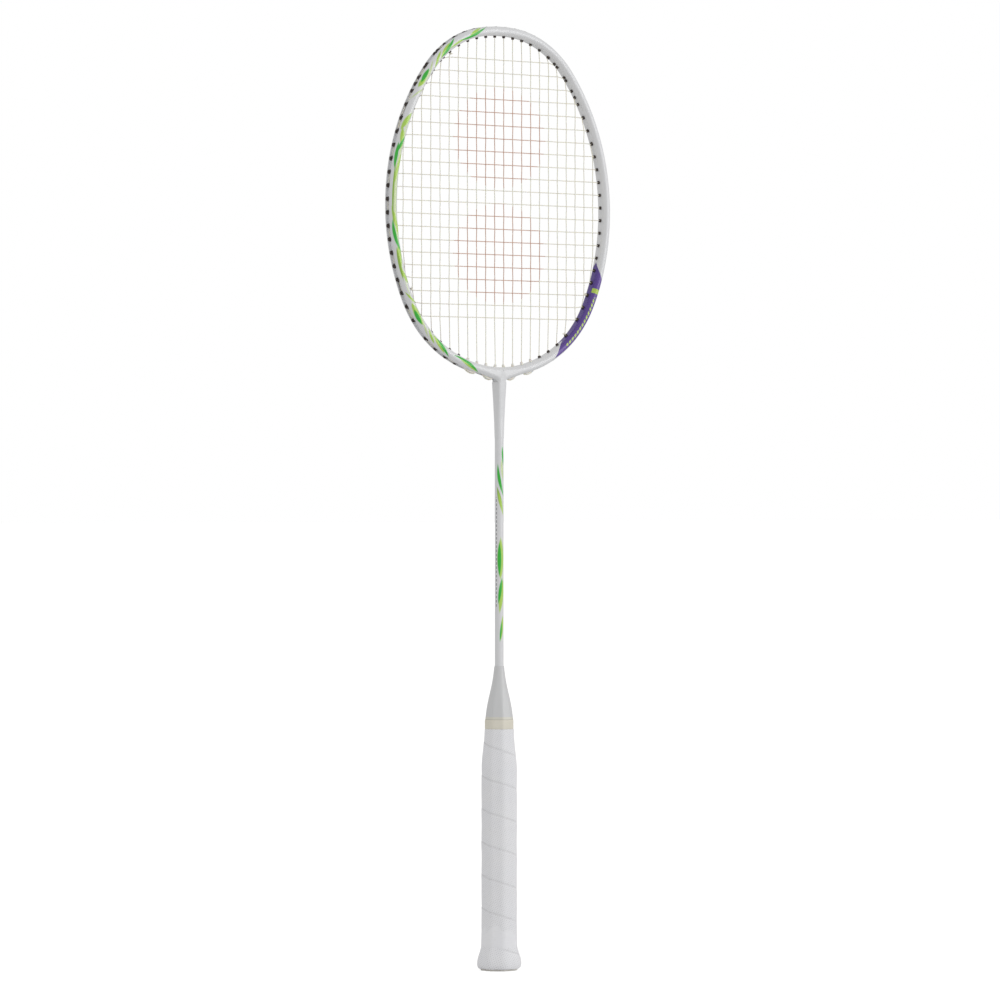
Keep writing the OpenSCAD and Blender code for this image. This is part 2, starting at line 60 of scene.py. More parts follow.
# ---------------- sizes
TOTAL = box_mm("head_frame")[1][2]
TAIL_FOOT = box_mm("head_frame")[0][2]
HEAD_HALF = box_mm("head_frame")[1][0]
HEAD_LENGTH = 250.0
WIDEST_Z = TOTAL - 130.0
TOP_R, SHOULDER_R, SIDE_R, LOWER_R, BOTTOM_R = 120.0, 73.0, 159.0, 82.5, 97.0
HALF_W, HALF_D = 3.2, 5.2
BEVEL_W, BEVEL_D = 1.8, 2.6
GROOVE_HALF, GROOVE_DEPTH = 1.9, 1.4
GROOVE_FLOOR = HALF_W - GROOVE_DEPTH
CORNER_R = 0.9
LIP_R = 0.3

# Main strings are counted from the left and crosses from the top. FIRST_RIGHT is the first main right
# of the middle, and FIRST_BLACK the first whose lower hole has a black grommet.
MAINS, CROSSES, FIRST_RIGHT, FIRST_BLACK = 22, 21, 11, 15
# The outermost mains leave through cross strings' holes: main to cross, at the top and at the bottom
TOP_SHARES, BOTTOM_SHARES = {20: 4, 21: 6}, {19: 20, 20: 19, 21: 17}
# The cross string is tied at the top hole of one main and the bottom hole of another, and the main
# string at both holes of one cross
START_MAIN, END_MAIN, TIE_CROSS = 16, 18, 18
MAIN_GAP = 8.2
FIRST_CROSS, CROSS_GAP, CROSS_CLOSING = 23.7, 9.48, 0.0125
STRING_R = 0.31
# How far the strings rise over each other, and the two ovals inked on the bed
MAIN_WEAVE, CROSS_WEAVE = 0.14, 0.5
STENCIL_Z, STENCIL_STEP, STENCIL_HALF_W, STENCIL_HALF_H = 554.0, 41.5, 42.0, 36.0
BARREL_R, BORE_R, BIG_BARREL_R, BIG_BORE_R = 1.05, 0.55, 1.25, 0.8
BARREL_TIP, FLANGE_R, FLANGE_T = 1.4, 2.15, 0.45
LONG_TIP = 2.0
STRING_SEAT = STRING_R + 0.03
STRING_LEVEL = GROOVE_FLOOR + FLANGE_T + STRING_SEAT
# Strings that share a hole lie SIDE_BY_SIDE off its middle, and a loop that passes one swings by TRACK
SIDE_BY_SIDE, TRACK, EDGE_GAP, TIE_REACH = 0.4, 0.85, 2.0, 2.6
LOOPS_BESIDE = 3
INNER_BULGE, OUTER_BULGE, PAD_REACH, PAD_W = 4.4, 2.8, 4.6, 3.2
THROAT_TILT = math.radians(22)

GUSSET_REACH, GUSSET_DROP, TAIL_HALF, FILLET_R = 20.0, 2.8, 3.7, 2.5
SHAFT_R = 3.15
BAND_FOOT, BAND_TOP = box_mm("finishing_tape")[0][2], box_mm("finishing_tape")[1][2]
BAND_HALF = box_mm("finishing_tape")[1][0]
CONE_TOP = box_mm("cone_cap")[1][2]
CONE_HALF = 9.75
CORE_HALF, GRIP_T = 10.8, 1.7
FLARE_HALF, FLARE_Z, FLARE_TOP = 13.95, 4.5, 20.0
GRIP_FOOT, NECK_LENGTH = box_mm("grip_tape")[0][2], 30.0


# ---------------- small geometry
def polar(angle):
    return np.array([math.cos(angle), math.sin(angle)])


def heading(start, end):
    return math.atan2(end[1] - start[1], end[0] - start[0])


def meet(a, radius_a, b, radius_b, side):
    """Where two circles meet, on the side that side picks."""
    gap = np.linalg.norm(b - a)
    ahead = (radius_a**2 - radius_b**2 + gap**2) / (2 * gap)
    off = math.sqrt(radius_a**2 - ahead**2)
    way = (b - a) / gap
    return a + ahead * way + side * off * np.array([-way[1], way[0]])


def round_angles(count):
    """Evenly spaced angles once round."""
    return np.arange(count) * 2 * math.pi / count


def ring_at(radius, z, angles):
    """Points round the Z axis at a height."""
    return np.c_[radius * np.cos(angles), radius * np.sin(angles), np.full(len(angles), z)]


def smooth(x):
    """0 below 0, 1 above 1, and an S-shaped step between."""
    x = np.clip(x, 0, 1)
    return x * x * (3 - 2 * x)


def bend(start, corner, end, shares):
    """Points of a curve from start to end that leaves and arrives along the lines to a corner."""
    return [(1 - t) ** 2 * start + 2 * t * (1 - t) * corner + t * t * end for t in shares]


def rounded(points, radii, steps=4):
    """The open outline through points, with each inner corner turned into a curve."""
    points = [np.array(p, float) for p in points]
    out = [points[0]]
    for before, corner, after, radius in zip(points, points[1:], points[2:], radii):
        start = corner + radius * (before - corner) / np.linalg.norm(before - corner)
        end = corner + radius * (after - corner) / np.linalg.norm(after - corner)
        out += bend(start, corner, end, np.linspace(0, 1, steps + 1))
    out.append(points[-1])
    return np.array(out)


def soft_octagon(half, corner, angle):
    """Radius of an eight-sided bar at an angle, whose corners stand at most 1 + corner times half out."""
    off = (angle + math.pi / 8) % (math.pi / 4) - math.pi / 8
    power = 90
    return half * (np.cos(off) ** power + (1 + corner) ** -power) ** (-1 / power)


# ---------------- the head's middle line
def head_arcs():
    """Five tangent arcs from the bottom of the head up its right side: centre, radius, start, end."""
    top = np.array([0, TOTAL - HALF_W - TOP_R])
    side = np.array([HEAD_HALF - HALF_W - SIDE_R, WIDEST_Z])
    bottom = np.array([0, TOTAL - HEAD_LENGTH + HALF_W + BOTTOM_R])
    shoulder = meet(top, TOP_R - SHOULDER_R, side, SIDE_R - SHOULDER_R, -1)
    lower = meet(bottom, BOTTOM_R - LOWER_R, side, SIDE_R - LOWER_R, 1)
    turns = [-math.pi / 2, heading(bottom, lower), heading(side, lower),
             heading(side, shoulder), heading(top, shoulder), math.pi / 2]
    arcs = [(bottom, BOTTOM_R), (lower, LOWER_R), (side, SIDE_R), (shoulder, SHOULDER_R), (top, TOP_R)]
    return [(c, r, a, b) for (c, r), a, b in zip(arcs, turns, turns[1:])]


ARCS = head_arcs()
ARC_LENGTHS = [r * (b - a) for _, r, a, b in ARCS]
HALF_LOOP = sum(ARC_LENGTHS)
HEAD_BOTTOM = ARCS[0][0]
BOTTOM_OUTER = BOTTOM_R + HALF_W


def on_loop(s):
    """The middle line's point and its outward direction, s along it from the bottom."""
    for (centre, radius, start, _), length in zip(ARCS, ARC_LENGTHS):
        if s <= length + 1e-9:
            break
        s -= length
    out = polar(start + min(s, length) / radius)
    return centre + radius * out, out


LOOP_S = np.linspace(0, HALF_LOOP, 1400)
LOOP_POINTS = np.array([on_loop(s)[0] for s in LOOP_S])


def loop_place(point):
    """How far along the middle line a point (x, z) of the right side lies, and how far outside it."""
    i = np.argmin(np.linalg.norm(LOOP_POINTS - point, axis=1))
    middle, out = on_loop(LOOP_S[i])
    return LOOP_S[i], float(np.dot(point - middle, out))


# ---------------- holes: centre, radius, angle
def hole_where(value, column, angle_of):
    """The hole whose mouth on the inner wall has this x (column 0) or z (column 1)."""
    for centre, radius, start, end in ARCS:
        share = (value - centre[column]) / (radius - HALF_W)
        if abs(share) <= 1 and start <= angle_of(share) <= end:
            return centre, radius, angle_of(share)


def hole_at_x(x, up):
    """The hole above (up = 1) or below (up = -1) the middle of the head at this x."""
    return hole_where(x, 0, lambda share: up * math.acos(share))


def hole_at_z(z):
    return hole_where(z, 1, math.asin)


def tilted(hole, by):
    """The same hole with its axis turned about its mouth on the inner wall."""
    centre, radius, angle = hole
    return centre + (radius - HALF_W) * (polar(angle) - polar(angle + by)), radius, angle + by


def spot(hole, off, side, y):
    """A point on a hole's axis, off outside the middle line, on the right (1) or left (-1) side."""
    centre, radius, angle = hole
    x, z = centre + (radius + off) * polar(angle)
    return np.array([side * x, y, z])


def hole_axes(hole, side):
    """The way out along a hole and the way along the hoop across it."""
    way = polar(hole[2])
    axis = np.array([side * way[0], 0, way[1]])
    return axis, np.cross([0, 1, 0], axis)


def main_x(k):
    return (k - FIRST_RIGHT + 0.5) * MAIN_GAP


def cross_z(j):
    return TOTAL - FIRST_CROSS - CROSS_GAP * j + CROSS_CLOSING * j * j


def cross_hole(j):
    return hole_at_z(cross_z(j))


def top_hole(k):
    return cross_hole(TOP_SHARES[k]) if k in TOP_SHARES else hole_at_x(main_x(k), 1)


def bottom_hole(k):
    if k in BOTTOM_SHARES:
        return cross_hole(BOTTOM_SHARES[k])
    hole = hole_at_x(main_x(k), -1)
    return tilted(hole, THROAT_TILT) if k == FIRST_RIGHT else hole


def top_shared(k):
    return k == START_MAIN or k in TOP_SHARES


def bottom_shared(k):
    return k == END_MAIN or k in BOTTOM_SHARES


def cross_shared(j):
    return j == TIE_CROSS or j in TOP_SHARES.values() or j in BOTTOM_SHARES.values()


# ---------------- making a piece
def placed(name, data):
    """A new object that holds data, in the scene."""
    thing = bpy.data.objects.new(name, data)
    bpy.context.scene.collection.objects.link(thing)
    return thing


def make_piece(name, points, faces, material, replaces=(), values=None, sharp=None):
    """A mesh piece from points in mm. values are per-point numbers that its material reads by name."""
    mesh = bpy.data.meshes.new(name)
    mesh.from_pydata([tuple(p) for p in np.asarray(points, float) * MM], [], [tuple(f) for f in faces])
    for key, numbers in (values or {}).items():
        mesh.attributes.new(key, "FLOAT", "POINT").data.foreach_set("value", np.asarray(numbers, np.float32))
    mesh.shade_smooth()
    if sharp:
        mesh.set_sharp_from_angle(angle=math.radians(sharp))
    mesh.materials.append(material)
    piece = placed(name, mesh)
    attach(piece, ROOT)
    if replaces:
        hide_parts(*replaces)
    return piece


def grid_faces(rings, sides, closed_rings=False, cap_ends=False):
    """Faces between rings of sides points each, all one after another in the point list."""
    faces = []
    for i in range(rings if closed_rings else rings - 1):
        for k in range(sides):
            a, b = i * sides + k, i * sides + (k + 1) % sides
            c, d = (i + 1) % rings * sides + k, (i + 1) % rings * sides + (k + 1) % sides
            faces.append((a, b, d, c))
    if cap_ends:
        faces.append(tuple(range(sides - 1, -1, -1)))
        faces.append(tuple((rings - 1) * sides + k for k in range(sides)))
    return faces


def joined(parts):
    """Several (points, faces) as one."""
    points, faces, count = [], [], 0
    for part_points, part_faces in parts:
        points.append(np.asarray(part_points, float))
        faces += [tuple(v + count for v in face) for face in part_faces]
        count += len(part_points)
    return np.vstack(points), faces


def welded(points, faces, values):
    """Points that coincide become one, and faces that this closes up are dropped."""
    _, first, where = np.unique(np.round(points, 4), axis=0, return_index=True, return_inverse=True)
    where = where.reshape(-1)
    kept = []
    for face in faces:
        corners = [where[v] for v in face]
        corners = [v for i, v in enumerate(corners) if v != corners[i - 1]]
        if len(set(corners)) >= 3:
            kept.append(corners)
    return points[first], kept, {key: np.asarray(v)[first] for key, v in values.items()}


def lofted(rings, corner_at, sides=128):
    """Rings of an eight-sided bar with soft corners: (half width, z) pairs, one after another."""
    angles = round_angles(sides)
    return np.vstack([ring_at(soft_octagon(half, corner_at(z), angles), z, angles) for half, z in rings])


def unit(rows):
    return rows / np.linalg.norm(rows, axis=-1, keepdims=True)


def lengths_along(path):
    """How far along a path each of its points lies."""
    return np.r_[0, np.cumsum(np.linalg.norm(np.diff(path, axis=0), axis=1))]


def swept(path, ahead, out, radius, sides):
    """A round tube along a path, whose rings start at out and turn about ahead at each point."""
    angles = round_angles(sides)[None, :, None]
    rings = path[:, None] + radius * (out[:, None] * np.cos(angles)
                                      + np.cross(ahead, out)[:, None] * np.sin(angles))
    return rings.reshape(-1, 3), grid_faces(len(path), sides, cap_ends=True)


def tube(path, radius, sides=8):
    """A round tube along a path that lies close to the XZ plane."""
    ahead = unit(np.gradient(path, axis=0))
    return swept(path, ahead, unit(np.cross([0, 1, 0], ahead)), radius, sides)


def coiled_tube(path, radius, sides=8):
    """A round tube along any smooth path, with its rings carried on from one to the next."""
    ahead = unit(np.gradient(path, axis=0))
    out = [np.cross(ahead[0], [0.3, 0.5, 0.8])]
    for way in ahead:
        out.append(unit(out[-1] - way * np.dot(out[-1], way)))
    return swept(path, ahead, np.array(out[1:]), radius, sides)


# ---------------- materials
class Shader:
    """A material's nodes, with short ways to add one and join it up."""

    def __init__(self, name, **settings):
        self.material = bpy.data.materials.new(name)
        self.material.use_nodes = True
        self.nodes = self.material.node_tree.nodes
        self.links = self.material.node_tree.links
        self.surface = self.nodes["Principled BSDF"]
        for key, value in settings.items():
            self.surface.inputs[key.replace("_", " ")].default_value = value

    def put(self, value, socket):
        if isinstance(value, bpy.types.NodeSocket):
            self.links.new(value, socket)
        else:
            socket.default_value = value

    def math(self, operation, *values, clamp=False):
        node = self.nodes.new("ShaderNodeMath")
        node.operation = operation
        node.use_clamp = clamp
        for value, socket in zip(values, node.inputs):
            self.put(value, socket)
        return node.outputs[0]

    def mix(self, share, first, second):
        node = self.nodes.new("ShaderNodeMix")
        node.data_type = "RGBA"
        self.put(share, node.inputs["Factor"])
        self.put(first, node.inputs[6])
        self.put(second, node.inputs[7])
        return node.outputs[2]

    def step(self, value, low, high):
        """0 where value is under low, 1 where it is over high, and smooth between."""
        node = self.nodes.new("ShaderNodeMapRange")
        node.interpolation_type = "SMOOTHSTEP"
        for given, key in ((value, "Value"), (low, "From Min"), (high, "From Max")):
            self.put(given, node.inputs[key])
        return node.outputs["Result"]

    def below(self, value, low, high):
        """1 where value is under low, 0 where it is over high, and smooth between."""
        return self.math("SUBTRACT", 1.0, self.step(value, low, high))

    def band(self, value, middle, half, soft):
        """1 where value is within half of middle, with a soft edge."""
        off = self.math("ABSOLUTE", self.math("SUBTRACT", value, middle))
        return self.below(off, half, half + soft)

    def times(self, first, second):
        return self.math("MULTIPLY", first, second)

    def dyed(self, share, strength, first, second):
        """first, with second mixed in where share is 1, by no more than strength."""
        return self.mix(self.times(share, strength), first, second)

    def value(self, name):
        node = self.nodes.new("ShaderNodeAttribute")
        node.attribute_name = name
        return node.outputs["Fac"]

    def place(self):
        """x, y and z in the racket's frame, in millimetres."""
        where = self.nodes.new("ShaderNodeTexCoord").outputs["Object"]
        split = self.nodes.new("ShaderNodeSeparateXYZ")
        self.links.new(where, split.inputs[0])
        return [self.math("MULTIPLY", axis, 1 / MM) for axis in split.outputs]

    def noise(self, scale, detail=3.0, stretch=(1, 1, 1)):
        """Noise over the racket's frame, with scale in cells a metre."""
        where = self.nodes.new("ShaderNodeTexCoord").outputs["Object"]
        mapping = self.nodes.new("ShaderNodeMapping")
        mapping.inputs["Scale"].default_value = stretch
        self.links.new(where, mapping.inputs["Vector"])
        node = self.nodes.new("ShaderNodeTexNoise")
        node.inputs["Scale"].default_value = scale
        node.inputs["Detail"].default_value = detail
        self.links.new(mapping.outputs[0], node.inputs["Vector"])
        return node.outputs["Fac"]

    def bump(self, height, distance_mm, strength=1.0):
        node = self.nodes.new("ShaderNodeBump")
        node.inputs["Distance"].default_value = distance_mm * MM
        node.inputs["Strength"].default_value = strength
        self.links.new(height, node.inputs["Height"])
        self.links.new(node.outputs[0], self.surface.inputs["Normal"])

    def leaf(self, along, across, centre, reach, level, lean, curl, width):
        """A brush stroke: 1 inside a leaf shape that may slant and curl, with a soft edge."""
        off = self.math("SUBTRACT", along, centre)
        middle = self.math("MULTIPLY_ADD", off, self.math("MULTIPLY_ADD", off, curl, lean), level)
        away = self.math("DIVIDE", self.math("ABSOLUTE", self.math("SUBTRACT", across, middle)), width)
        tip = self.math("POWER", self.math("ABSOLUTE", self.math("DIVIDE", off, reach)), 2.0)
        return self.step(self.math("SUBTRACT", self.math("SUBTRACT", 1.0, tip), away), -0.14, 0.36)

    def finish(self, colour=None, roughness=None):
        if colour is not None:
            self.put(colour, self.surface.inputs["Base Color"])
        if roughness is not None:
            self.put(roughness, self.surface.inputs["Roughness"])
        return self.material


def rgb(red, green, blue):
    """A linear colour from one given in screen values of 0 to 255."""
    return tuple(((c / 255 + 0.055) / 1.055) ** 2.4 if c > 10 else c / 3294.6
                 for c in (red, green, blue)) + (1.0,)


PEARL = rgb(237, 238, 240)
PEARL_DEEP = rgb(229, 230, 233)
GREEN, LIME = rgb(46, 192, 50), rgb(184, 226, 92)
PALE, OLIVE = rgb(214, 232, 176), rgb(152, 196, 70)
VIOLET, VIOLET_DEEP = rgb(98, 66, 160), rgb(78, 50, 142)

# Places across the tube's side, from 0 on the inner wall to 1 in the groove, and the ends of the
# violet panel along the hoop
INNER_EDGE, LAND_EDGE = 0.165, 0.565
PANEL_START, PANEL_END = 64.5, 133.5

# Brush strokes on the head: distance along the hoop, half length, place across, lean, curl,
# half width, colour
HEAD_STROKES = [
    (78, 7, 0.51, -0.020, 0, 0.044, PALE), (252.5, 7, 0.51, -0.034, 0, 0.044, PALE),
    (274, 7, 0.50, 0.022, 0, 0.044, PALE), (267, 9, 0.47, 0, 0, 0.088, PALE),
    (89, 9, 0.43, 0, 0, 0.062, PALE),
    (104, 40, 0.47, 0, 0, 0.025, PALE), (181, 36, 0.455, 0, 0, 0.085, PALE),
    (150, 26, 0.43, 0, 0, 0.050, PALE), (214, 26, 0.43, 0, 0, 0.050, PALE),
    (32, 10, 0.46, -0.014, 0.0010, 0.109, LIME), (62, 9, 0.47, -0.014, 0.0006, 0.094, LIME),
    (70.5, 6.5, 0.50, -0.021, 0, 0.072, LIME), (95.5, 3.5, 0.53, 0, 0, 0.072, LIME),
    (90, 9.5, 0.50, 0, 0, 0.145, LIME), (102.5, 6, 0.47, 0.030, 0, 0.058, LIME),
    (120, 8, 0.46, 0.014, 0, 0.080, LIME), (134, 10, 0.47, -0.004, 0, 0.109, LIME),
    (158, 12, 0.46, 0.014, 0, 0.094, LIME), (196, 12, 0.44, -0.008, 0, 0.080, LIME),
    (218, 8, 0.50, 0.012, 0, 0.109, LIME), (230, 7.5, 0.53, -0.018, 0, 0.131, LIME),
    (261.5, 5, 0.55, -0.010, 0, 0.123, LIME), (283, 7.5, 0.48, 0.022, 0, 0.072, LIME),
    (292.5, 8, 0.51, 0.017, 0, 0.087, LIME), (322, 8.5, 0.50, 0.025, 0, 0.094, LIME),
    (305, 9, 0.40, 0, 0, 0.051, LIME),
    (128, 13, 0.55, 0, 0, 0.058, OLIVE), (179, 27, 0.56, 0, 0, 0.042, OLIVE),
    (33.5, 14, 0.385, -0.0105, 0.00110, 0.080, GREEN), (57.5, 9, 0.45, -0.017, 0.0007, 0.080, GREEN),
    (88, 6.5, 0.535, 0, 0, 0.109, GREEN), (148, 12.5, 0.535, 0.010, -0.0005, 0.094, GREEN),
    (205, 10, 0.60, 0, 0, 0.087, GREEN), (212.5, 7, 0.49, -0.018, 0, 0.072, GREEN),
    (267, 6.5, 0.575, 0, 0, 0.109, GREEN), (296, 10, 0.465, 0.017, 0.0010, 0.080, GREEN),
    (321, 14, 0.385, 0.0095, 0.0010, 0.072, GREEN),
]

# Strokes on the shaft: height, half length, angle from the front in degrees, lean and curl in degrees
# a mm, half width in degrees, colour
SHAFT_STROKES = [
    (358, 8, 4, -1.5, 0, 22, PALE), (336.5, 10, -28, -4.2, 0, 26, OLIVE), (334, 9, -16, -4.2, 0, 20, LIME),
    (294.5, 15.8, -17, 0, 0, 50, LIME), (268, 13, -6, 2.2, 0, 36, LIME), (245, 9.5, 0, 1.8, 0, 24, LIME),
    (368, 7.5, 14, -1.5, 0, 18, GREEN), (350.5, 12.5, -34, -3.6, 0.15, 24, GREEN),
    (294, 13, -35, 0, 0, 29, GREEN), (271.5, 10, -24, 2.6, 0, 24, GREEN), (242.5, 8, -15, 1.8, 0, 14, GREEN),
]


def painted_white(shader):
    """Pearl lacquer: a slow change of tone and a very fine flake."""
    tone = shader.mix(shader.noise(35, 2.0), PEARL_DEEP, PEARL)
    flake = shader.step(shader.noise(5200, 1.0), 0.60, 0.78)
    return shader.mix(shader.math("MULTIPLY", flake, 0.35), tone, rgb(250, 251, 255))


def head_paint():
    """White pearl with green and lime strokes on one side and a violet panel low on the other."""
    s = Shader("frame_paint", Coat_Weight=0.55, Coat_Roughness=0.12, IOR=1.5)
    along, across = s.value("along"), s.value("across")
    x, y, _ = s.place()
    turned = s.times(x, y)
    stroke_side = s.step(turned, 0.0, 0.4)
    inner = s.below(across, INNER_EDGE - 0.005, INNER_EDGE + 0.005)
    panel_side = s.math("MAXIMUM", s.math("SUBTRACT", 1.0, stroke_side), inner)
    colour = painted_white(s)
    for *shape, paint in HEAD_STROKES:
        colour = s.mix(s.times(s.leaf(along, across, *shape), stroke_side), colour, paint)
    low = s.step(s.math("MULTIPLY_ADD", across, 30.0, along), PANEL_START - 0.5, PANEL_START + 0.5)
    high = s.step(s.math("MULTIPLY_ADD", across, 24.0, along), PANEL_END - 0.5, PANEL_END + 0.5)
    off_land = s.below(across, LAND_EDGE - 0.005, LAND_EDGE + 0.005)
    panel = s.times(s.times(low, s.math("SUBTRACT", 1.0, high)), s.times(panel_side, off_land))
    colour = s.mix(panel, colour, s.mix(s.step(across, 0.15, 0.4), VIOLET_DEEP, VIOLET))
    dash = s.math("PINGPONG", s.math("MULTIPLY_ADD", across, 12.0, along), 1.7)
    in_dash = s.below(dash, 0.9, 1.2)
    row = s.band(across, 0.405, 0.045, 0.01)
    dashes = s.times(s.times(in_dash, row), s.band(along, 84.5, 22.0, 0.5))
    stripe = s.times(s.band(along, 111.5, 1.6, 0.4), s.step(across, INNER_EDGE - 0.005, INNER_EDGE + 0.005))
    lime_work = s.times(s.math("MAXIMUM", dashes, stripe), panel)
    colour = s.mix(lime_work, colour, rgb(186, 216, 84))
    s.bump(s.noise(900, 2.0), 0.012)
    return s.finish(colour, s.step(s.noise(260, 2.0), -0.6, 1.9))


def shaft_paint():
    """The same lacquer on the shaft, with strokes that wind down it and a plain dotted pinstripe."""
    s = Shader("shaft_paint", Coat_Weight=0.55, Coat_Roughness=0.1, IOR=1.5)
    x, y, z = s.place()
    turn = s.times(s.math("ARCTANGENT", s.math("DIVIDE", x, s.times(y, -1.0))), 180 / math.pi)
    colour = painted_white(s)
    for *shape, paint in SHAFT_STROKES:
        colour = s.mix(s.leaf(z, turn, *shape), colour, paint)
    dots = s.below(s.math("PINGPONG", z, 1.5), 0.8, 1.0)
    line = s.times(s.band(turn, -76.0, 5.5, 2.0), s.band(z, 299.0, 39.0, 1.0))
    ink = s.times(s.times(line, dots), 0.7)
    colour = s.mix(ink, colour, rgb(70, 72, 80))
    s.bump(s.noise(900, 2.0), 0.01)
    return s.finish(colour, s.step(s.noise(260, 2.0), -0.6, 1.9))


def cone_paint():
    """The cone's lacquer, a shade greyer than the shaft's, with a cream strip along its foot."""
    s = Shader("cone_paint", Coat_Weight=0.4, Coat_Roughness=0.15, IOR=1.48)
    _, _, z = s.place()
    colour = s.mix(0.5, painted_white(s), rgb(202, 203, 203))
    strip = s.below(z, BAND_TOP + 1.7, BAND_TOP + 2.5)
    colour = s.dyed(strip, 0.6, colour, rgb(232, 228, 208))
    edge = s.below(z, BAND_TOP + 0.3, BAND_TOP + 0.6)
    colour = s.dyed(edge, 0.35, colour, rgb(150, 146, 132))
    s.bump(s.noise(1200, 2.0), 0.012)
    return s.finish(colour, s.step(s.noise(200, 2.0), -0.7, 1.8))


def string_gut():
    """Ivory string of fine wound threads, with two plain ovals inked on the middle of the bed, and painted
    shade where it lies on the dark grommets' flanges in the groove.
    """
    s = Shader("string_gut", Coat_Weight=0.25, Coat_Roughness=0.25, IOR=1.53, Subsurface_Weight=0.12,
               Subsurface_Radius=(0.0006, 0.0005, 0.0003))
    x, y, z = s.place()
    above = s.math("SUBTRACT", s.math("ABSOLUTE", s.math("SUBTRACT", z, STENCIL_Z)), STENCIL_STEP)
    out = s.math("ADD", s.math("POWER", s.math("ABSOLUTE", s.math("DIVIDE", x, STENCIL_HALF_W)), 2.0),
                 s.math("POWER", s.math("ABSOLUTE", s.math("DIVIDE", above, STENCIL_HALF_H)), 2.0))
    ovals = s.below(out, 0.97, 1.03)
    ink = s.times(ovals, s.step(s.noise(420, 2.0), 0.1, 0.5))
    tone = s.mix(s.noise(700, 3.0), rgb(246, 241, 222), rgb(253, 250, 236))
    colour = s.dyed(ink, 0.62, tone, rgb(206, 122, 84))
    # Painted shade: the string turns dark brown where it lies in the groove on the dark grommets' flanges
    colour = s.mix(s.value("groove_shade"), colour, rgb(58, 48, 42))
    wound = s.math("SINE", s.math("MULTIPLY_ADD", s.value("around"), 3.0,
                                  s.times(s.value("along"), 9.0)))
    s.bump(wound, 0.02)
    return s.finish(colour, 0.42)


def moulded(shader, grain, depth, flow, dark, light, roughness):
    """Moulded plastic: two tones that flow into each other, under a fine grain."""
    shader.bump(shader.noise(*grain), depth)
    return shader.finish(shader.mix(shader.noise(*flow), dark, light), roughness)


def grommet_black():
    s = Shader("grommet_black", IOR=1.53)
    return moulded(s, (2600, 3.0), 0.02, (600, 2.0), rgb(44, 35, 31), rgb(74, 62, 53),
                   s.step(s.noise(900, 2.0), -0.35, 1.05))


def grommet_clear():
    s = Shader("grommet_clear", IOR=1.53, Subsurface_Weight=0.35, Subsurface_Radius=(0.0015, 0.0012, 0.0008))
    return moulded(s, (2000, 3.0), 0.02, (500, 2.0), rgb(236, 232, 220), rgb(246, 243, 234), 0.38)


def grip_leather():
    """White synthetic leather: pores, rows of fine holes, creases, and a little grey along each seam."""
    s = Shader("grip_leather", IOR=1.45, Sheen_Weight=0.15, Sheen_Roughness=0.5)
    along, across = s.value("wrap_along"), s.value("wrap_across")
    row = s.math("FLOOR", s.math("DIVIDE", across, 1.3))
    shift = s.times(s.math("MODULO", row, 2.0), 0.8)
    du = s.math("PINGPONG", s.math("ADD", along, shift), 0.8)
    dv = s.math("SUBTRACT", s.math("MODULO", across, 1.3), 0.65)
    away = s.math("SQRT", s.math("ADD", s.math("POWER", du, 2.0),
                                 s.math("POWER", s.math("ABSOLUTE", dv), 2.0)))
    hole = s.below(away, 0.14, 0.30)
    pores = s.noise(2600, 3.0)
    creases = s.noise(330, 4.0, (1, 1, 2.2))
    seam = s.value("seam")
    tone = s.mix(s.noise(60, 2.0), rgb(246, 247, 252), rgb(253, 253, 255))
    tone = s.dyed(s.step(creases, 0.52, 0.75), 0.22, tone, rgb(226, 226, 228))
    tone = s.dyed(hole, 0.55, tone, rgb(150, 150, 152))
    tone = s.dyed(seam, 0.4, tone, rgb(186, 185, 184))
    height = s.math("ADD", s.times(pores, 0.30), s.times(creases, 0.9))
    height = s.math("SUBTRACT", height, s.times(hole, 1.0))
    s.bump(height, 0.10)
    return s.finish(tone, s.step(creases, -1.0, 1.35))


def band_tape_film():
    """Cream tape: a faint crosswise wrinkle and a grain."""
    s = Shader("band_tape_film", IOR=1.46)
    wrinkle = s.noise(160, 3.0, (1, 1, 3.5))
    s.bump(s.math("ADD", wrinkle, s.times(s.noise(3000, 2.0), 0.15)), 0.10)
    colour = s.mix(s.noise(90, 3.0), rgb(230, 225, 208), rgb(240, 236, 223))
    return s.finish(colour, s.step(wrinkle, -0.4, 1.5))


def moulded_cap():
    return moulded(Shader("moulded_cap", IOR=1.49), (1800, 4.0), 0.03, (120, 3.0),
                   rgb(244, 241, 233), rgb(250, 248, 242), 0.5)


def badge_plastic():
    """A glossy disc with fine turned rings."""
    s = Shader("badge_plastic", Coat_Weight=0.5, Coat_Roughness=0.08, IOR=1.5)
    x, y, _ = s.place()
    radius = s.math("SQRT", s.math("ADD", s.times(x, x), s.times(y, y)))
    s.bump(s.math("SINE", s.times(radius, 14.0)), 0.01)
    return s.finish(s.mix(s.step(radius, 5.0, 5.2), rgb(214, 217, 222), rgb(120, 190, 90)), 0.3)


def metal(name, colour, roughness, stretch):
    """Drawn or turned metal with fine lines along one way."""
    s = Shader(name, Metallic=1.0)
    lines = s.noise(2400, 2.0, stretch)
    s.bump(lines, 0.015)
    return s.finish(s.mix(lines, colour, tuple(0.8 * c for c in colour[:3]) + (1.0,)),
                    s.step(lines, -1.2 + roughness, 2.2))


def wood():
    """Pale hardwood with its grain along the handle."""
    s = Shader("handle_wood", IOR=1.5)
    rings = s.noise(420, 5.0, (1, 1, 0.04))
    pores = s.noise(3000, 2.0, (1, 1, 0.05))
    colour = s.mix(s.step(rings, 0.3, 0.7), rgb(214, 182, 138), rgb(188, 148, 100))
    colour = s.dyed(s.step(pores, 0.6, 0.7), 0.4, colour, rgb(120, 86, 54))
    s.bump(pores, 0.05)
    return s.finish(colour, 0.62)


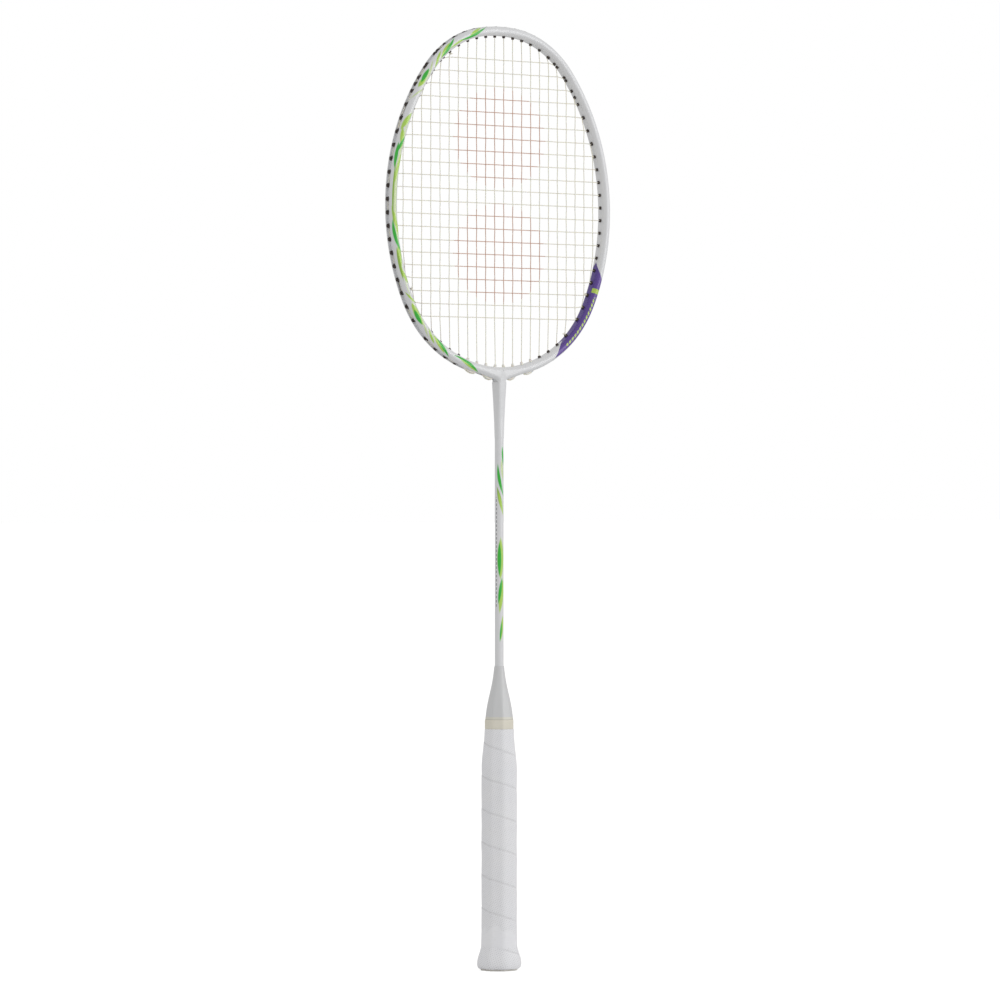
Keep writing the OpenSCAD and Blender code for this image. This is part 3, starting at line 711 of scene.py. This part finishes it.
def paper_floor():
    """White paper, lit so that it runs into the white room behind it."""
    s = Shader("paper_floor", Specular_IOR_Level=0.1, Emission_Color=(1, 1, 1, 1))
    s.put(s.times(s.nodes.new("ShaderNodeLightPath").outputs["Is Camera Ray"], 0.6),
          s.surface.inputs["Emission Strength"])
    s.bump(s.noise(60, 2.0), 0.05)
    return s.finish(s.mix(s.noise(2.0, 2.0), rgb(226, 226, 226), rgb(230, 230, 230)), 0.85)


# ---------------- the head, throat and tail
def wall_side(depth):
    """Half the inner wall's outline, (distance in from the wall, y), from its middle to the face."""
    return rounded([(0, 0), (0, depth - BEVEL_D), (BEVEL_W, depth), (BEVEL_W + CORNER_R + 0.1, depth)],
                   [CORNER_R, CORNER_R])


def groove_side(depth):
    """Half the outer wall's outline, from the face to the middle of the groove's floor."""
    return rounded([(BEVEL_W + CORNER_R + 0.1, depth), (BEVEL_W, depth), (0, depth - BEVEL_D),
                    (0, GROOVE_HALF), (GROOVE_DEPTH, GROOVE_HALF - 0.1), (GROOVE_DEPTH, 0)],
                   [CORNER_R, CORNER_R, LIP_R, LIP_R])


def tail_side(half, depth, power, count):
    """A quarter of the tail's outline, (distance in from its side, y), from the axis to the side."""
    angles = np.linspace(math.pi / 2, 0, count)
    return np.c_[half * (1 - np.cos(angles) ** (2 / power)), depth * np.sin(angles) ** (2 / power)]


FILLET_S = 6.0
# Cuts in the tail, in each half of the fillet, on the slope and round the rest of the hoop
TAIL_CUTS, FILLET_CUTS, SLOPE_CUTS, HOOP_CUTS = 36, 6, 12, 215

# The tail from the head down: height under the head's lower edge, half width, half depth, squareness
TAIL_SHAPE = np.array([(-2.0, 3.95, HALF_D, 6.0), (4.0, TAIL_HALF + 0.1, 4.75, 5.5), (17.0, 3.42, 4.05, 4.2),
                       (31.0, 3.24, 3.4, 3.0), (44.0, 3.19, 3.19, 2.2), (45.0, 3.12, 3.12, 2.0)])
TAIL_TOP = TOTAL - HEAD_LENGTH


def tail_value(z, column):
    return np.interp(TAIL_TOP - z, TAIL_SHAPE[:, 0], TAIL_SHAPE[:, column])


def frame_stations():
    """Cuts across the right half, from the tail's foot up the throat and round to the head's top.

    Each has the point on the inner wall and the way into the wall from it, the same for the outer wall,
    how far the cut is the tail's rather than the hoop's, its place along the hoop, and whether it has
    an inner wall at all. The fillet's cuts lead FILLET_S along the hoop.
    """
    top = np.array([GUSSET_REACH, HEAD_BOTTOM[1] - math.sqrt(BOTTOM_OUTER**2 - GUSSET_REACH**2)])
    foot = np.array([TAIL_HALF, TAIL_TOP - GUSSET_DROP])
    slope = heading(foot, top)
    centre = foot + FILLET_R * np.array([1, math.tan(slope) - 1 / math.cos(slope)])
    into = np.array([-math.sin(slope), math.cos(slope)])
    stations = []

    def cut_on_axis(z, outer, into_outer, tail, s):
        stations.append(((0, z), (0, -1), outer, into_outer, tail, s, False))

    def cut_at_wall(s, outer, into_outer):
        middle, away = on_loop(s)
        stations.append((middle - HALF_W * away, away, outer, into_outer, 0.0, s, True))

    for z in np.linspace(TAIL_FOOT - 0.2, centre[1], TAIL_CUTS)[:-1]:
        cut_on_axis(z, (tail_value(z, 1), z), (-1, 0), 1.0, z - TAIL_TOP)
    axis_top = TAIL_TOP + 2 * HALF_W - BEVEL_W
    turned = (math.pi / 2 - slope) / 2
    for share in np.linspace(0, 1, FILLET_CUTS + 1):
        out = polar(math.pi - share * turned)
        z = centre[1] + (axis_top - centre[1]) * share ** 1.3
        cut_on_axis(z, centre + FILLET_R * out, out, 1 - smooth(share), z - TAIL_TOP - 8)
    for i in range(1, FILLET_CUTS + 1):
        out = polar(math.pi - (1 + i / FILLET_CUTS) * turned)
        cut_at_wall(FILLET_S * (i - 1) / (FILLET_CUTS - 1), centre + FILLET_R * out, out)
    join = BOTTOM_R * math.asin(GUSSET_REACH / BOTTOM_OUTER)
    touch = centre + FILLET_R * into
    for share in np.linspace(0, 1, SLOPE_CUTS + 1)[1:]:
        cut_at_wall(FILLET_S + (join - FILLET_S) * share, touch + (top - touch) * share, into)
    for s in np.linspace(join, HALF_LOOP, HOOP_CUTS)[1:]:
        middle, away = on_loop(s)
        cut_at_wall(s, middle + HALF_W * away, -away)
    return stations


def head_frame_mesh():
    wall, groove = wall_side(HALF_D), groove_side(HALF_D)
    half_ring = np.vstack([wall, groove])
    count, walls = len(half_ring), len(wall)
    gone = lengths_along(np.vstack([wall, [[2 * HALF_W - g[0], g[1]] for g in groove]]))
    across = gone / gone[-1]
    points, along, side_share = [], [], []
    stations = frame_stations()
    for inner, into_inner, outer, into_outer, tail, s, has_wall in stations:
        inner, into_inner, outer, into_outer = map(np.array, (inner, into_inner, outer, into_outer))
        half = max(outer[0], 0.1)
        shape = tail_side(half, HALF_D, tail_value(outer[1], 3), len(groove))
        sides = (1 - tail) * groove + tail * shape
        if has_wall:
            start = [np.r_[inner + a * into_inner, y] for a, y in wall]
        else:
            start = [np.r_[inner, HALF_D]] * walls
        end = [np.r_[outer + a * into_outer, y] for a, y in sides]
        ring = np.array(start + end)
        if not has_wall and tail == 1.0:
            ring[:walls, 1] = outer[1]
        ring[:, 2] *= np.array([tail_value(z, 2) for z in ring[:, 1]]) / HALF_D
        front = np.c_[ring[:, 0], -ring[:, 2], ring[:, 1]]
        back = np.c_[ring[:, 0], ring[:, 2], ring[:, 1]][-2:0:-1]
        points.append(np.vstack([front, back]))
        along += [s] * (2 * count - 2)
        side_share += list(across) + list(across[-2:0:-1])
    sides = 2 * count - 2
    faces = []
    for i, (low, high) in enumerate(zip(stations, stations[1:])):
        for k in range(sides):
            in_wall = k < walls - 1 or k >= sides - walls + 1
            if in_wall and not low[-1]:
                continue
            a, b = i * sides + k, i * sides + (k + 1) % sides
            faces.append((a, b, b + sides, a + sides))
    points = np.vstack(points)
    mirrored = points * [-1, 1, 1]
    shift = len(points)
    faces += [tuple(v + shift for v in reversed(face)) for face in faces]
    return welded(np.vstack([points, mirrored]), faces, {"along": along * 2, "across": side_share * 2})


def build_head_frame():
    points, faces, values = head_frame_mesh()
    return make_piece("racket_frame", points, faces, head_paint(), ["head_frame"], values, 50)


# ---------------- grommets
GROMMET_STEPS = 20
# Parts wider than WIDE_R are ovals, narrower along the hoop, and the barrels a little longer along it
WIDE_R, WIDE_OVAL, BARREL_OVAL = 1.5, 0.8, 1.08
OVER_EDGE = 0.12


def lathed_on_hole(hole, side, profile, saddle=0.0):
    """A closed ring profile, (radius, height), turned about a hole's axis.

    Wide parts rise with saddle towards the groove's two walls, and lip just over them.
    """
    axis, hoop = hole_axes(hole, side)
    middle = spot(hole, 0, side, 0)
    rings = []
    for r, height in profile:
        lift = saddle if height > GROOVE_FLOOR + 0.1 else 0.0
        reach = r * (WIDE_OVAL if r > WIDE_R else BARREL_OVAL)
        for i in range(GROMMET_STEPS):
            turn = 2 * math.pi * i / GROMMET_STEPS
            y = r * math.sin(turn)
            rise = min(lift * max(0.0, abs(y) - BORE_R) ** 2, max(0.0, HALF_W + OVER_EDGE - height))
            rings.append(middle + axis * (height + rise) + hoop * reach * math.cos(turn)
                         + np.array([0, y, 0]))
    return np.array(rings), grid_faces(len(profile), GROMMET_STEPS, closed_rings=True)


def grommet(hole, side, shared):
    barrel, bore = (BIG_BARREL_R, BIG_BORE_R) if shared else (BARREL_R, BORE_R)
    tip, floor, top = -HALF_W - BARREL_TIP, GROOVE_FLOOR + 0.02, GROOVE_FLOOR + FLANGE_T
    profile = [(bore, tip + 0.15), (bore + 0.15, tip), (barrel - 0.25, tip), (barrel - 0.06, tip + 0.22),
               (barrel + 0.06, -HALF_W), (barrel, floor), (FLANGE_R - 0.1, floor), (FLANGE_R, floor + 0.14),
               (FLANGE_R, top - 0.1), (FLANGE_R - 0.12, top), (1.4, top), (bore + 0.2, top),
               (bore, top - 0.2)]
    return lathed_on_hole(hole, side, profile, 0.9)


def sleeve(hole, side):
    """The throat's long tapered barrels."""
    tip = -HALF_W - LONG_TIP
    profile = [(BORE_R, tip + 0.15), (BORE_R + 0.12, tip), (0.82, tip + 0.1), (0.98, tip + 0.9),
               (1.12, -HALF_W), (1.05, GROOVE_FLOOR + 0.3), (BORE_R, GROOVE_FLOOR + 0.3)]
    return lathed_on_hole(hole, side, profile)


def pad(k):
    """The lens between the throat's holes k and k + 1: its middle, its way out, half the distance
    between the holes, its radius and its height over the groove's floor."""
    ends = [spot(bottom_hole(n), GROOVE_FLOOR, 1, 0)[[0, 2]] for n in (k, k + 1)]
    bulge = INNER_BULGE if k == FIRST_RIGHT else OUTER_BULGE
    middle = (ends[0] + ends[1]) / 2
    up = (middle - HEAD_BOTTOM) / np.linalg.norm(middle - HEAD_BOTTOM)
    half = np.linalg.norm(ends[1] - ends[0]) / 2
    reach = half + PAD_REACH / 2
    return middle, up, half, (reach**2 + bulge**2) / (2 * bulge), bulge


def pad_height(shape, along, grow=0.0):
    _, _, _, radius, bulge = shape
    return math.sqrt((radius + grow) ** 2 - along**2) - radius + bulge


def crescent(k, side):
    """The pad that the string bends round, with soft edges."""
    middle, up, half, _, _ = shape = pad(k)
    way, reach = np.array([-up[1], up[0]]), half + PAD_REACH / 2
    section = rounded([(-PAD_W / 2, 0), (-PAD_W / 2, 1), (PAD_W / 2, 1), (PAD_W / 2, 0)], [0.35, 0.35], 5)
    rings = []
    steps = np.sin(np.linspace(-math.pi / 2, math.pi / 2, 29)) * reach
    for along in steps:
        for y, share in section:
            x, z = middle + way * along + up * (pad_height(shape, along) + 0.03) * share
            rings.append((side * x, y, z))
    return np.array(rings), grid_faces(len(steps), len(section), cap_ends=True)


def build_grommets():
    black, clear = grommet_black(), grommet_clear()
    single = {
        "grommets_top": [(top_hole(k), s) for s in (-1, 1) for k in range(FIRST_RIGHT, MAINS)
                         if not top_shared(k)],
        "grommets_left": [(cross_hole(j), -1) for j in range(CROSSES) if not cross_shared(j)],
        "grommets_right": [(cross_hole(j), 1) for j in range(CROSSES) if not cross_shared(j)],
        "grommets_bottom": [(bottom_hole(k), s) for s in (-1, 1) for k in range(FIRST_BLACK, END_MAIN)]}
    for node, holes in single.items():
        points, faces = joined([grommet(hole, side, False) for hole, side in holes])
        make_piece("turned_" + node, points, faces, black, [node], sharp=60)
    for side, word in ((-1, "left"), (1, "right")):
        holes = [top_hole(START_MAIN), bottom_hole(END_MAIN)]
        holes += [cross_hole(j) for j in range(CROSSES) if cross_shared(j)]
        points, faces = joined([grommet(hole, side, True) for hole in holes])
        node = "shared_grommets_" + word
        make_piece("turned_" + node, points, faces, black, [node], sharp=60)
        for k, place in ((FIRST_RIGHT, "inner"), (FIRST_RIGHT + 2, "outer")):
            parts = [crescent(k, side)] + [sleeve(bottom_hole(n), side) for n in (k, k + 1)]
            points, faces = joined(parts)
            node = f"throat_grommet_{place}_{word}"
            make_piece("moulded_" + node, points, faces, clear, [node], sharp=60)


# ---------------- strings
def mirrored_main(i):
    return MAINS - 1 - i if i < FIRST_RIGHT else i


def side_of(i):
    return -1 if i < FIRST_RIGHT else 1


def over(i, j):
    """1 where main string i passes behind cross string j, and -1 where it passes in front."""
    return 1 if (i + j) % 2 == 0 else -1


def woven(points, steps=5):
    """Points where strings cross, with the rise and fall between them added."""
    out = [points[0]]
    for a, b in zip(points, points[1:]):
        for i in range(1, steps + 1):
            t = i / steps
            p = a + (b - a) * t
            p[1] = a[1] + (b[1] - a[1]) * (1 - math.cos(math.pi * t)) / 2
            out.append(p)
    return out


def softened(path, radius=0.9, sharper_than=0.5):
    """A path with its hard corners turned into short curves."""
    out = [path[0]]
    for before, corner, after in zip(path, path[1:], path[2:]):
        back, on = before - corner, after - corner
        level = np.dot(back, on) / np.linalg.norm(back) / np.linalg.norm(on)
        turn = math.pi - math.acos(np.clip(level, -1, 1))
        if turn < sharper_than:
            out.append(corner)
            continue
        start = corner + back * min(radius / np.linalg.norm(back), 0.45)
        end = corner + on * min(radius / np.linalg.norm(on), 0.45)
        out += bend(start, corner, end, (0, 0.25, 0.5, 0.75, 1))
    return out + [path[-1]]


def round_hoop(start, end, steps=15):
    """The string's way along the groove from one hole to the next, on one side of the head."""
    side = 1 if start[0] + end[0] > 0 else -1
    s0, off0 = loop_place(start[[0, 2]] * [side, 1])
    s1, off1 = loop_place(end[[0, 2]] * [side, 1])
    out = []
    for t in np.linspace(0, 1, steps)[1:-1]:
        middle, away = on_loop(s0 + (s1 - s0) * t)
        x, z = middle + away * (off0 + (off1 - off0) * t)
        out.append(np.array([side * x, start[1] + (end[1] - start[1]) * t, z]))
    return out


def over_pad(k, side, steps=9):
    """The string's points over a pad, from its hole nearer the axis to the other one."""
    middle, up, half, _, _ = shape = pad(k)
    way = np.array([-up[1], up[0]])
    out = []
    for along in np.linspace(-half, half, steps):
        x, z = middle + way * along + up * pad_height(shape, along, STRING_SEAT)
        out.append(np.array([side * x, 0, z]))
    return sorted(out, key=lambda point: abs(point[0]))


def bottom_level(k):
    """How far out the string stands where it leaves a bottom hole."""
    if k >= FIRST_BLACK:
        return STRING_LEVEL
    shape = pad(k - (k - FIRST_RIGHT) % 2)
    return GROOVE_FLOOR + pad_height(shape, shape[2], STRING_SEAT)


def reach_of_cross(j):
    """How far from the middle a cross string still meets main strings."""
    return spot(cross_hole(j), -HALF_W, 1, 0)[0] - EDGE_GAP


def main_run(i):
    """One main string from its bottom hole up to its top hole."""
    k, side = mirrored_main(i), side_of(i)
    low_y = SIDE_BY_SIDE if bottom_shared(k) else 0
    high_y = SIDE_BY_SIDE if top_shared(k) else 0
    tip = -HALF_W - BARREL_TIP
    crossings = [np.array([side * main_x(k), MAIN_WEAVE * over(i, j), cross_z(j)])
                 for j in range(CROSSES - 1, -1, -1) if main_x(k) < reach_of_cross(j)]
    run = woven([spot(bottom_hole(k), tip, side, low_y), *crossings, spot(top_hole(k), tip, side, high_y)])
    foot = spot(bottom_hole(k), bottom_level(k), side, low_y)
    return [foot, *run, spot(top_hole(k), STRING_LEVEL, side, high_y)]


def swung(loop, by):
    """A loop that swings aside in the groove, to pass a string beside it."""
    for point, t in zip(loop, np.linspace(0, 1, len(loop) + 2)[1:-1]):
        point[1] += by * math.sin(math.pi * t)
    return loop


def main_turn(i, start, end):
    """The loop outside the head between main strings i and i + 1."""
    low = min(mirrored_main(i), mirrored_main(i + 1))
    if i == FIRST_RIGHT - 1:
        return [np.array([0, 0, TOTAL - HALF_W + STRING_LEVEL])]
    if i % 2 == 1 and low < FIRST_BLACK:
        loop = over_pad(low, side_of(i))[1:-1]
        return loop if abs(start[0]) < abs(end[0]) else loop[::-1]
    loop = round_hoop(start, end)
    if i % 2 == 0 and low >= START_MAIN:
        return swung(loop, TRACK if start[1] >= 0 else -TRACK)
    return loop


def tied_end(hole, side, y):
    return [spot(hole, STRING_LEVEL, side, y), spot(hole, -HALF_W - BARREL_TIP, side, y),
            spot(hole, -HALF_W - TIE_REACH, side, y)]


def main_path():
    path = tied_end(cross_hole(TIE_CROSS), -1, SIDE_BY_SIDE)[::-1]
    runs = [main_run(i) if i % 2 == 0 else main_run(i)[::-1] for i in range(MAINS)]
    for i, run in enumerate(runs):
        path += run
        if i < MAINS - 1:
            path += main_turn(i, run[-1], runs[i + 1][0])
    return path + tied_end(cross_hole(TIE_CROSS), 1, SIDE_BY_SIDE)


def cross_run(j):
    """One cross string from the left hole to the right one."""
    hole, tip = cross_hole(j), -HALF_W - BARREL_TIP
    y = -SIDE_BY_SIDE if cross_shared(j) else 0
    crossings = [np.array([side_of(i) * main_x(mirrored_main(i)), -CROSS_WEAVE * over(i, j), cross_z(j)])
                 for i in range(MAINS) if main_x(mirrored_main(i)) < reach_of_cross(j)]
    run = woven([spot(hole, tip, -1, y), *crossings, spot(hole, tip, 1, y)])
    return [spot(hole, STRING_LEVEL, -1, y), *run, spot(hole, STRING_LEVEL, 1, y)]


def cross_path():
    """The cross string, whose first loops pass beside the main string's in the groove."""
    path = tied_end(top_hole(START_MAIN), -1, -SIDE_BY_SIDE)[::-1]
    runs = [cross_run(j) if j % 2 == 0 else cross_run(j)[::-1] for j in range(CROSSES)]
    for j, run in enumerate(runs):
        path += run
        if j < CROSSES - 1:
            loop = round_hoop(run[-1], runs[j + 1][0])
            path += swung(loop, -TRACK) if j < LOOPS_BESIDE else loop
    return path + tied_end(bottom_hole(END_MAIN), 1, -SIDE_BY_SIDE)


def painted_groove_shade(path):
    """How much painted shade the string takes: 1 where it lies on a dark grommet's flange in the groove, and
    0 in the bed.
    """
    right = [top_hole(k) for k in range(FIRST_RIGHT, MAINS)] + [cross_hole(j) for j in range(CROSSES)]
    right += [bottom_hole(k) for k in range(FIRST_BLACK, MAINS)]
    mouths = np.array([spot(hole, STRING_LEVEL, 1, 0) for hole in right])
    path = np.abs(path * [1, 0, 1])
    away = np.min(np.linalg.norm(path[:, None] - mouths[None], axis=2), axis=1)
    return 1 - smooth((away - 1.7) / 0.5)


def string_piece(name, path, material, node):
    path = np.array(softened(path))
    sides = 8
    points, faces = tube(path, STRING_R, sides)
    gone = lengths_along(path)
    # The string's painted shade on the grommets' flanges goes to its material as a per-point value
    values = {"along": np.repeat(gone, sides), "groove_shade": np.repeat(painted_groove_shade(path), sides),
              "around": np.tile(round_angles(sides), len(path))}
    make_piece(name, points, faces, material, [node], values, 80)


def knot(hole, side):
    """A tied end: two turns of string round its neighbour, drawn down on the grommet, and a cut tail."""
    axis, hoop = hole_axes(hole, side)
    start = spot(hole, -HALF_W - BARREL_TIP - 0.5, side, 0)
    turns, count = 2.0, 48
    path = []
    for i in range(count + 1):
        turn = 2 * math.pi * turns * i / count
        path.append(start - axis * (0.5 * turns * i / count)
                    + 0.62 * (hoop * math.cos(turn) + np.array([0, math.sin(turn), 0])))
    path += [path[-1] + hoop * 0.3 - axis * 0.3, path[-1] + hoop * 0.9 - axis * 0.5]
    return coiled_tube(np.array(path), 0.24)


def build_strings():
    gut = string_gut()
    string_piece("strung_mains", main_path(), gut, "main_string")
    string_piece("strung_crosses", cross_path(), gut, "cross_string")
    tied = [(cross_hole(TIE_CROSS), -1), (cross_hole(TIE_CROSS), 1), (top_hole(START_MAIN), -1),
            (bottom_hole(END_MAIN), 1)]
    points, faces = joined([knot(hole, side) for hole, side in tied])
    make_piece("tied_knots", points, faces, gut, ["string_knots"], sharp=80)


# ---------------- shaft, cone and band
def build_shaft():
    low, high = [corner[2] for corner in box_mm("shaft")]
    bore = 2.1
    rings = [(bore, low + 0.2), (SHAFT_R - 0.2, low), (SHAFT_R, low + 0.2)]
    rings += [(SHAFT_R, z) for z in np.linspace(low + 1, high - 1, 60)]
    rings += [(SHAFT_R, high - 0.2), (SHAFT_R - 0.2, high), (bore, high - 0.2)]
    sides = 64
    points = np.vstack([ring_at(r, z, round_angles(sides)) for r, z in rings])
    faces = grid_faces(len(rings), sides, closed_rings=True)
    make_piece("lacquered_shaft", points, faces, shaft_paint(), ["shaft"], sharp=60)


def cone_ring(t):
    """Half width and height of the cone, from 0 at its top edge to 1 at the band."""
    neck = 3.5
    bow = 0.05
    half = neck + (CONE_HALF - neck) * (t - bow * math.sin(2 * math.pi * t))
    return half, CONE_TOP - (CONE_TOP - BAND_TOP) * t


def build_cone():
    foot = BAND_FOOT + 1
    round_length, facets_form_in = 9, 22
    rings = [(SHAFT_R + 0.02, CONE_TOP - 3), (SHAFT_R + 0.02, CONE_TOP - 0.15),
             (SHAFT_R + 0.1, CONE_TOP - 0.04), (3.32, CONE_TOP), (3.45, CONE_TOP - 0.12),
             (3.53, CONE_TOP - 0.4)]
    rings += [cone_ring(t) for t in np.linspace(0.03, 1, 60)]
    rings += [(CONE_HALF, z) for z in (BAND_TOP - 1, foot)]
    rings += [(CONE_HALF - 0.6, foot - 0.2), (CONE_HALF - 1.4, foot)]

    def corner_at(z):
        return 0.002 + 0.062 * smooth((CONE_TOP - round_length - z) / facets_form_in)

    points = lofted(rings, corner_at)
    make_piece("painted_cone", points, grid_faces(len(rings), 128), cone_paint(),
               ["cone_cap"], sharp=60)


def build_band():
    """A turn and a half of tape: its free end makes a small step on one flat."""
    sides = 192
    angles = round_angles(sides)
    edge = [(-0.3, 0.02), (-0.06, 0), (0.0, 0.12), (0.015, 1.5)]
    profile = [(off, BAND_FOOT + up) for off, up in edge]
    profile += [(-0.02, (BAND_FOOT + BAND_TOP) / 2)]
    profile += [(off, BAND_TOP - up) for off, up in reversed(edge)]
    step = 0.12 * (smooth((angles - 0.62) / 0.03) - smooth((angles - 5.2) / 1.0))
    points = []
    for off, z in profile:
        outer = off > -0.2
        radius = soft_octagon(BAND_HALF - 0.12 + off, 0.06, angles) + (step if outer else 0)
        points.append(ring_at(radius, z, angles))
    faces = grid_faces(len(profile), sides, closed_rings=True)
    make_piece("cream_band", np.vstack(points), faces, band_tape_film(),
               ["finishing_tape"], sharp=60)


# ---------------- the wound grip
WRAP_PITCH = 23.6
WRAP_START = 8.0
SEAM_DEPTH = 0.34
SEAM_WIDTH = 0.07
GRIP_CORNER = 0.045
GRIP_MEAN_R, GRAIN_LEAN = 12.7, 0.28


def under_grip(z):
    """Half width of what the grip is wound on."""
    neck_foot = BAND_FOOT - NECK_LENGTH
    if z < FLARE_Z:
        return FLARE_HALF - 1.6 * (1 - math.sin(math.pi / 2 * z / FLARE_Z))
    if z < FLARE_TOP:
        share = 0.5 + 0.5 * math.cos(math.pi * (z - FLARE_Z) / (FLARE_TOP - FLARE_Z))
        return CORE_HALF + (FLARE_HALF - CORE_HALF) * share
    if z <= neck_foot:
        return CORE_HALF
    return CORE_HALF - (CORE_HALF - (BAND_HALF - GRIP_T + 0.3)) * smooth((z - neck_foot) / NECK_LENGTH)


def wrap_profile(phase):
    """Height of the tape's face over its seam, and how deep in the seam a point lies, both from 0 to 1.

    The upper turn's edge rolls down on the lower one in the first part of the phase, and the tape
    then rises slowly to the next edge.
    """
    roll = smooth(phase / SEAM_WIDTH)
    rise = 0.72 + 0.28 * smooth((phase - 0.55) / 0.45)
    edge = 1 - smooth((phase - (1 - 0.012)) / 0.012)
    height = (0.1 + 0.9 * roll) * rise * (0.25 + 0.75 * edge)
    seam = np.exp(-((np.minimum(phase, 1 - phase) / 0.013) ** 2))
    return height, seam


def build_grip():
    sides, count = 256, 640
    angles = round_angles(sides)
    heights = GRIP_FOOT + (BAND_FOOT + 0.1 - GRIP_FOOT) * np.linspace(0, 1, count)
    points, seams, along, across = [], [], [], []
    for z in heights:
        phase = ((z - WRAP_START) / WRAP_PITCH + angles / (2 * math.pi)) % 1.0
        height, seam = wrap_profile(phase)
        edge = min(1.0, (z - GRIP_FOOT) / 0.8, (BAND_FOOT + 0.1 - z) / 0.5)
        roll = GRIP_T * (1 - math.sqrt(max(0.0, 1 - (1 - max(0.0, edge)) ** 2))) * 0.5
        wobble = 0.05 * np.sin(3 * angles + z / 5.0) + 0.04 * np.sin(7 * angles - z / 3.1)
        half = under_grip(z) + GRIP_T - SEAM_DEPTH * 0.35
        radius = soft_octagon(half, GRIP_CORNER, angles) + SEAM_DEPTH * (height - 0.7) + wobble - roll
        points.append(ring_at(radius, z, angles))
        seams.append(seam)
        along.append(angles * GRIP_MEAN_R - z * GRAIN_LEAN)
        across.append(phase * WRAP_PITCH)
    for half, z in ((under_grip(heights[-1]) + 0.2, heights[-1]), (under_grip(GRIP_FOOT) + 0.1, GRIP_FOOT)):
        points.append(ring_at(soft_octagon(half, GRIP_CORNER, angles), z, angles))
        seams.append(np.zeros(sides))
        along.append(angles * GRIP_MEAN_R)
        across.append(np.zeros(sides))
    faces = grid_faces(count + 2, sides, closed_rings=True)
    values = {"seam": np.concatenate(seams), "wrap_along": np.concatenate(along),
              "wrap_across": np.concatenate(across)}
    make_piece("wound_grip", np.vstack(points), faces, grip_leather(), ["grip_tape"], values, 70)


# ---------------- butt and hidden parts
def build_badge_ring():
    """A plain raised ring on the butt's disc."""
    foot = box_mm("butt_badge")[0][2]
    major, minor, sides, count = 4.4, 0.22, 12, 72
    points = []
    for i in range(count):
        a = 2 * math.pi * i / count
        for k in range(sides):
            b = 2 * math.pi * k / sides
            r = major + minor * math.cos(b)
            points.append((r * math.cos(a), r * math.sin(a), foot + 0.1 + minor * 0.6 * math.sin(b)))
    make_piece("badge_ring", points, grid_faces(count, sides, closed_rings=True),
               metal("ring_metal", rgb(196, 198, 204), 0.3, (1, 1, 1)))


def dress_frame_nodes():
    """Materials for the CAD nodes that stay as they are."""
    steel = metal("drawn_steel", rgb(190, 190, 194), 0.35, (1, 1, 0.1))
    finishes = {"t_joint": metal("machined_alloy", rgb(205, 207, 212), 0.3, (0.2, 1, 1)),
                "handle_core": wood(), "handle_pin": steel, "butt_staples": steel,
                "butt_cap": moulded_cap(), "butt_badge": badge_plastic()}
    for node, material in finishes.items():
        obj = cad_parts[node]
        for slot in obj.material_slots:
            slot.material = material
        if not obj.material_slots:
            obj.data.materials.append(material)


# ---------------- camera, light and floor
CAMERA_TURN = math.radians(-38)
CAMERA_AWAY = 3.857
CAMERA_LENS = 193.97
CAMERA_Z = 0.3364


def build_camera():
    camera = placed("camera", bpy.data.cameras.new("camera"))
    camera.data.sensor_width = 36.0
    camera.data.lens = CAMERA_LENS
    camera.data.shift_x = 0.0008
    camera.data.clip_end = 200.0
    camera.location = (CAMERA_AWAY * math.sin(CAMERA_TURN), -CAMERA_AWAY * math.cos(CAMERA_TURN), CAMERA_Z)
    camera.rotation_euler = (math.pi / 2, 0, CAMERA_TURN)
    bpy.context.scene.camera = camera


def add_softbox(name, place, size, power, target=(0, 0, 0.35)):
    light = bpy.data.lights.new(name, "AREA")
    light.shape = "RECTANGLE"
    light.size, light.size_y = size
    light.energy = power
    softbox = placed(name, light)
    softbox.location = place
    aim = np.array(target) - np.array(place)
    flat = math.hypot(aim[0], aim[1])
    softbox.rotation_euler = (math.atan2(flat, -aim[2]), 0, math.atan2(aim[1], aim[0]) - math.pi / 2)
    softbox.visible_camera = False
    return softbox


def build_light():
    """A white room that is seen as white but lights softly, and two softboxes."""
    world = bpy.data.worlds.new("studio")
    bpy.context.scene.world = world
    world.use_nodes = True
    nodes, links = world.node_tree.nodes, world.node_tree.links
    backdrop, room = nodes["Background"], nodes.new("ShaderNodeBackground")
    for shade, colour, strength in ((backdrop, (1, 1, 1, 1), 1.0), (room, (1.0, 0.995, 0.985, 1), 0.66)):
        shade.inputs["Color"].default_value = colour
        shade.inputs["Strength"].default_value = strength
    chooser = nodes.new("ShaderNodeMixShader")
    seen = nodes.new("ShaderNodeLightPath")
    links.new(seen.outputs["Is Camera Ray"], chooser.inputs[0])
    links.new(room.outputs[0], chooser.inputs[1])
    links.new(backdrop.outputs[0], chooser.inputs[2])
    links.new(chooser.outputs[0], nodes["World Output"].inputs["Surface"])
    add_softbox("key_softbox", (1.5, -2.6, 1.1), (1.2, 1.8), 18)
    add_softbox("strip_softbox", (-2.6, -0.9, 0.7), (0.25, 2.0), 0.6)


def build_floor():
    size = 60.0
    mesh = bpy.data.meshes.new("floor")
    corners = [(-size, -size, 0), (size, -size, 0), (size, size, 0), (-size, size, 0)]
    mesh.from_pydata(corners, [], [(0, 1, 2, 3)])
    mesh.materials.append(paper_floor())
    placed("floor", mesh)


bpy.context.scene.view_settings.view_transform = "Standard"
build_camera()
build_light()
build_floor()
build_head_frame()
build_grommets()
build_strings()
build_shaft()
build_cone()
build_band()
build_grip()
build_badge_ring()
dress_frame_nodes()
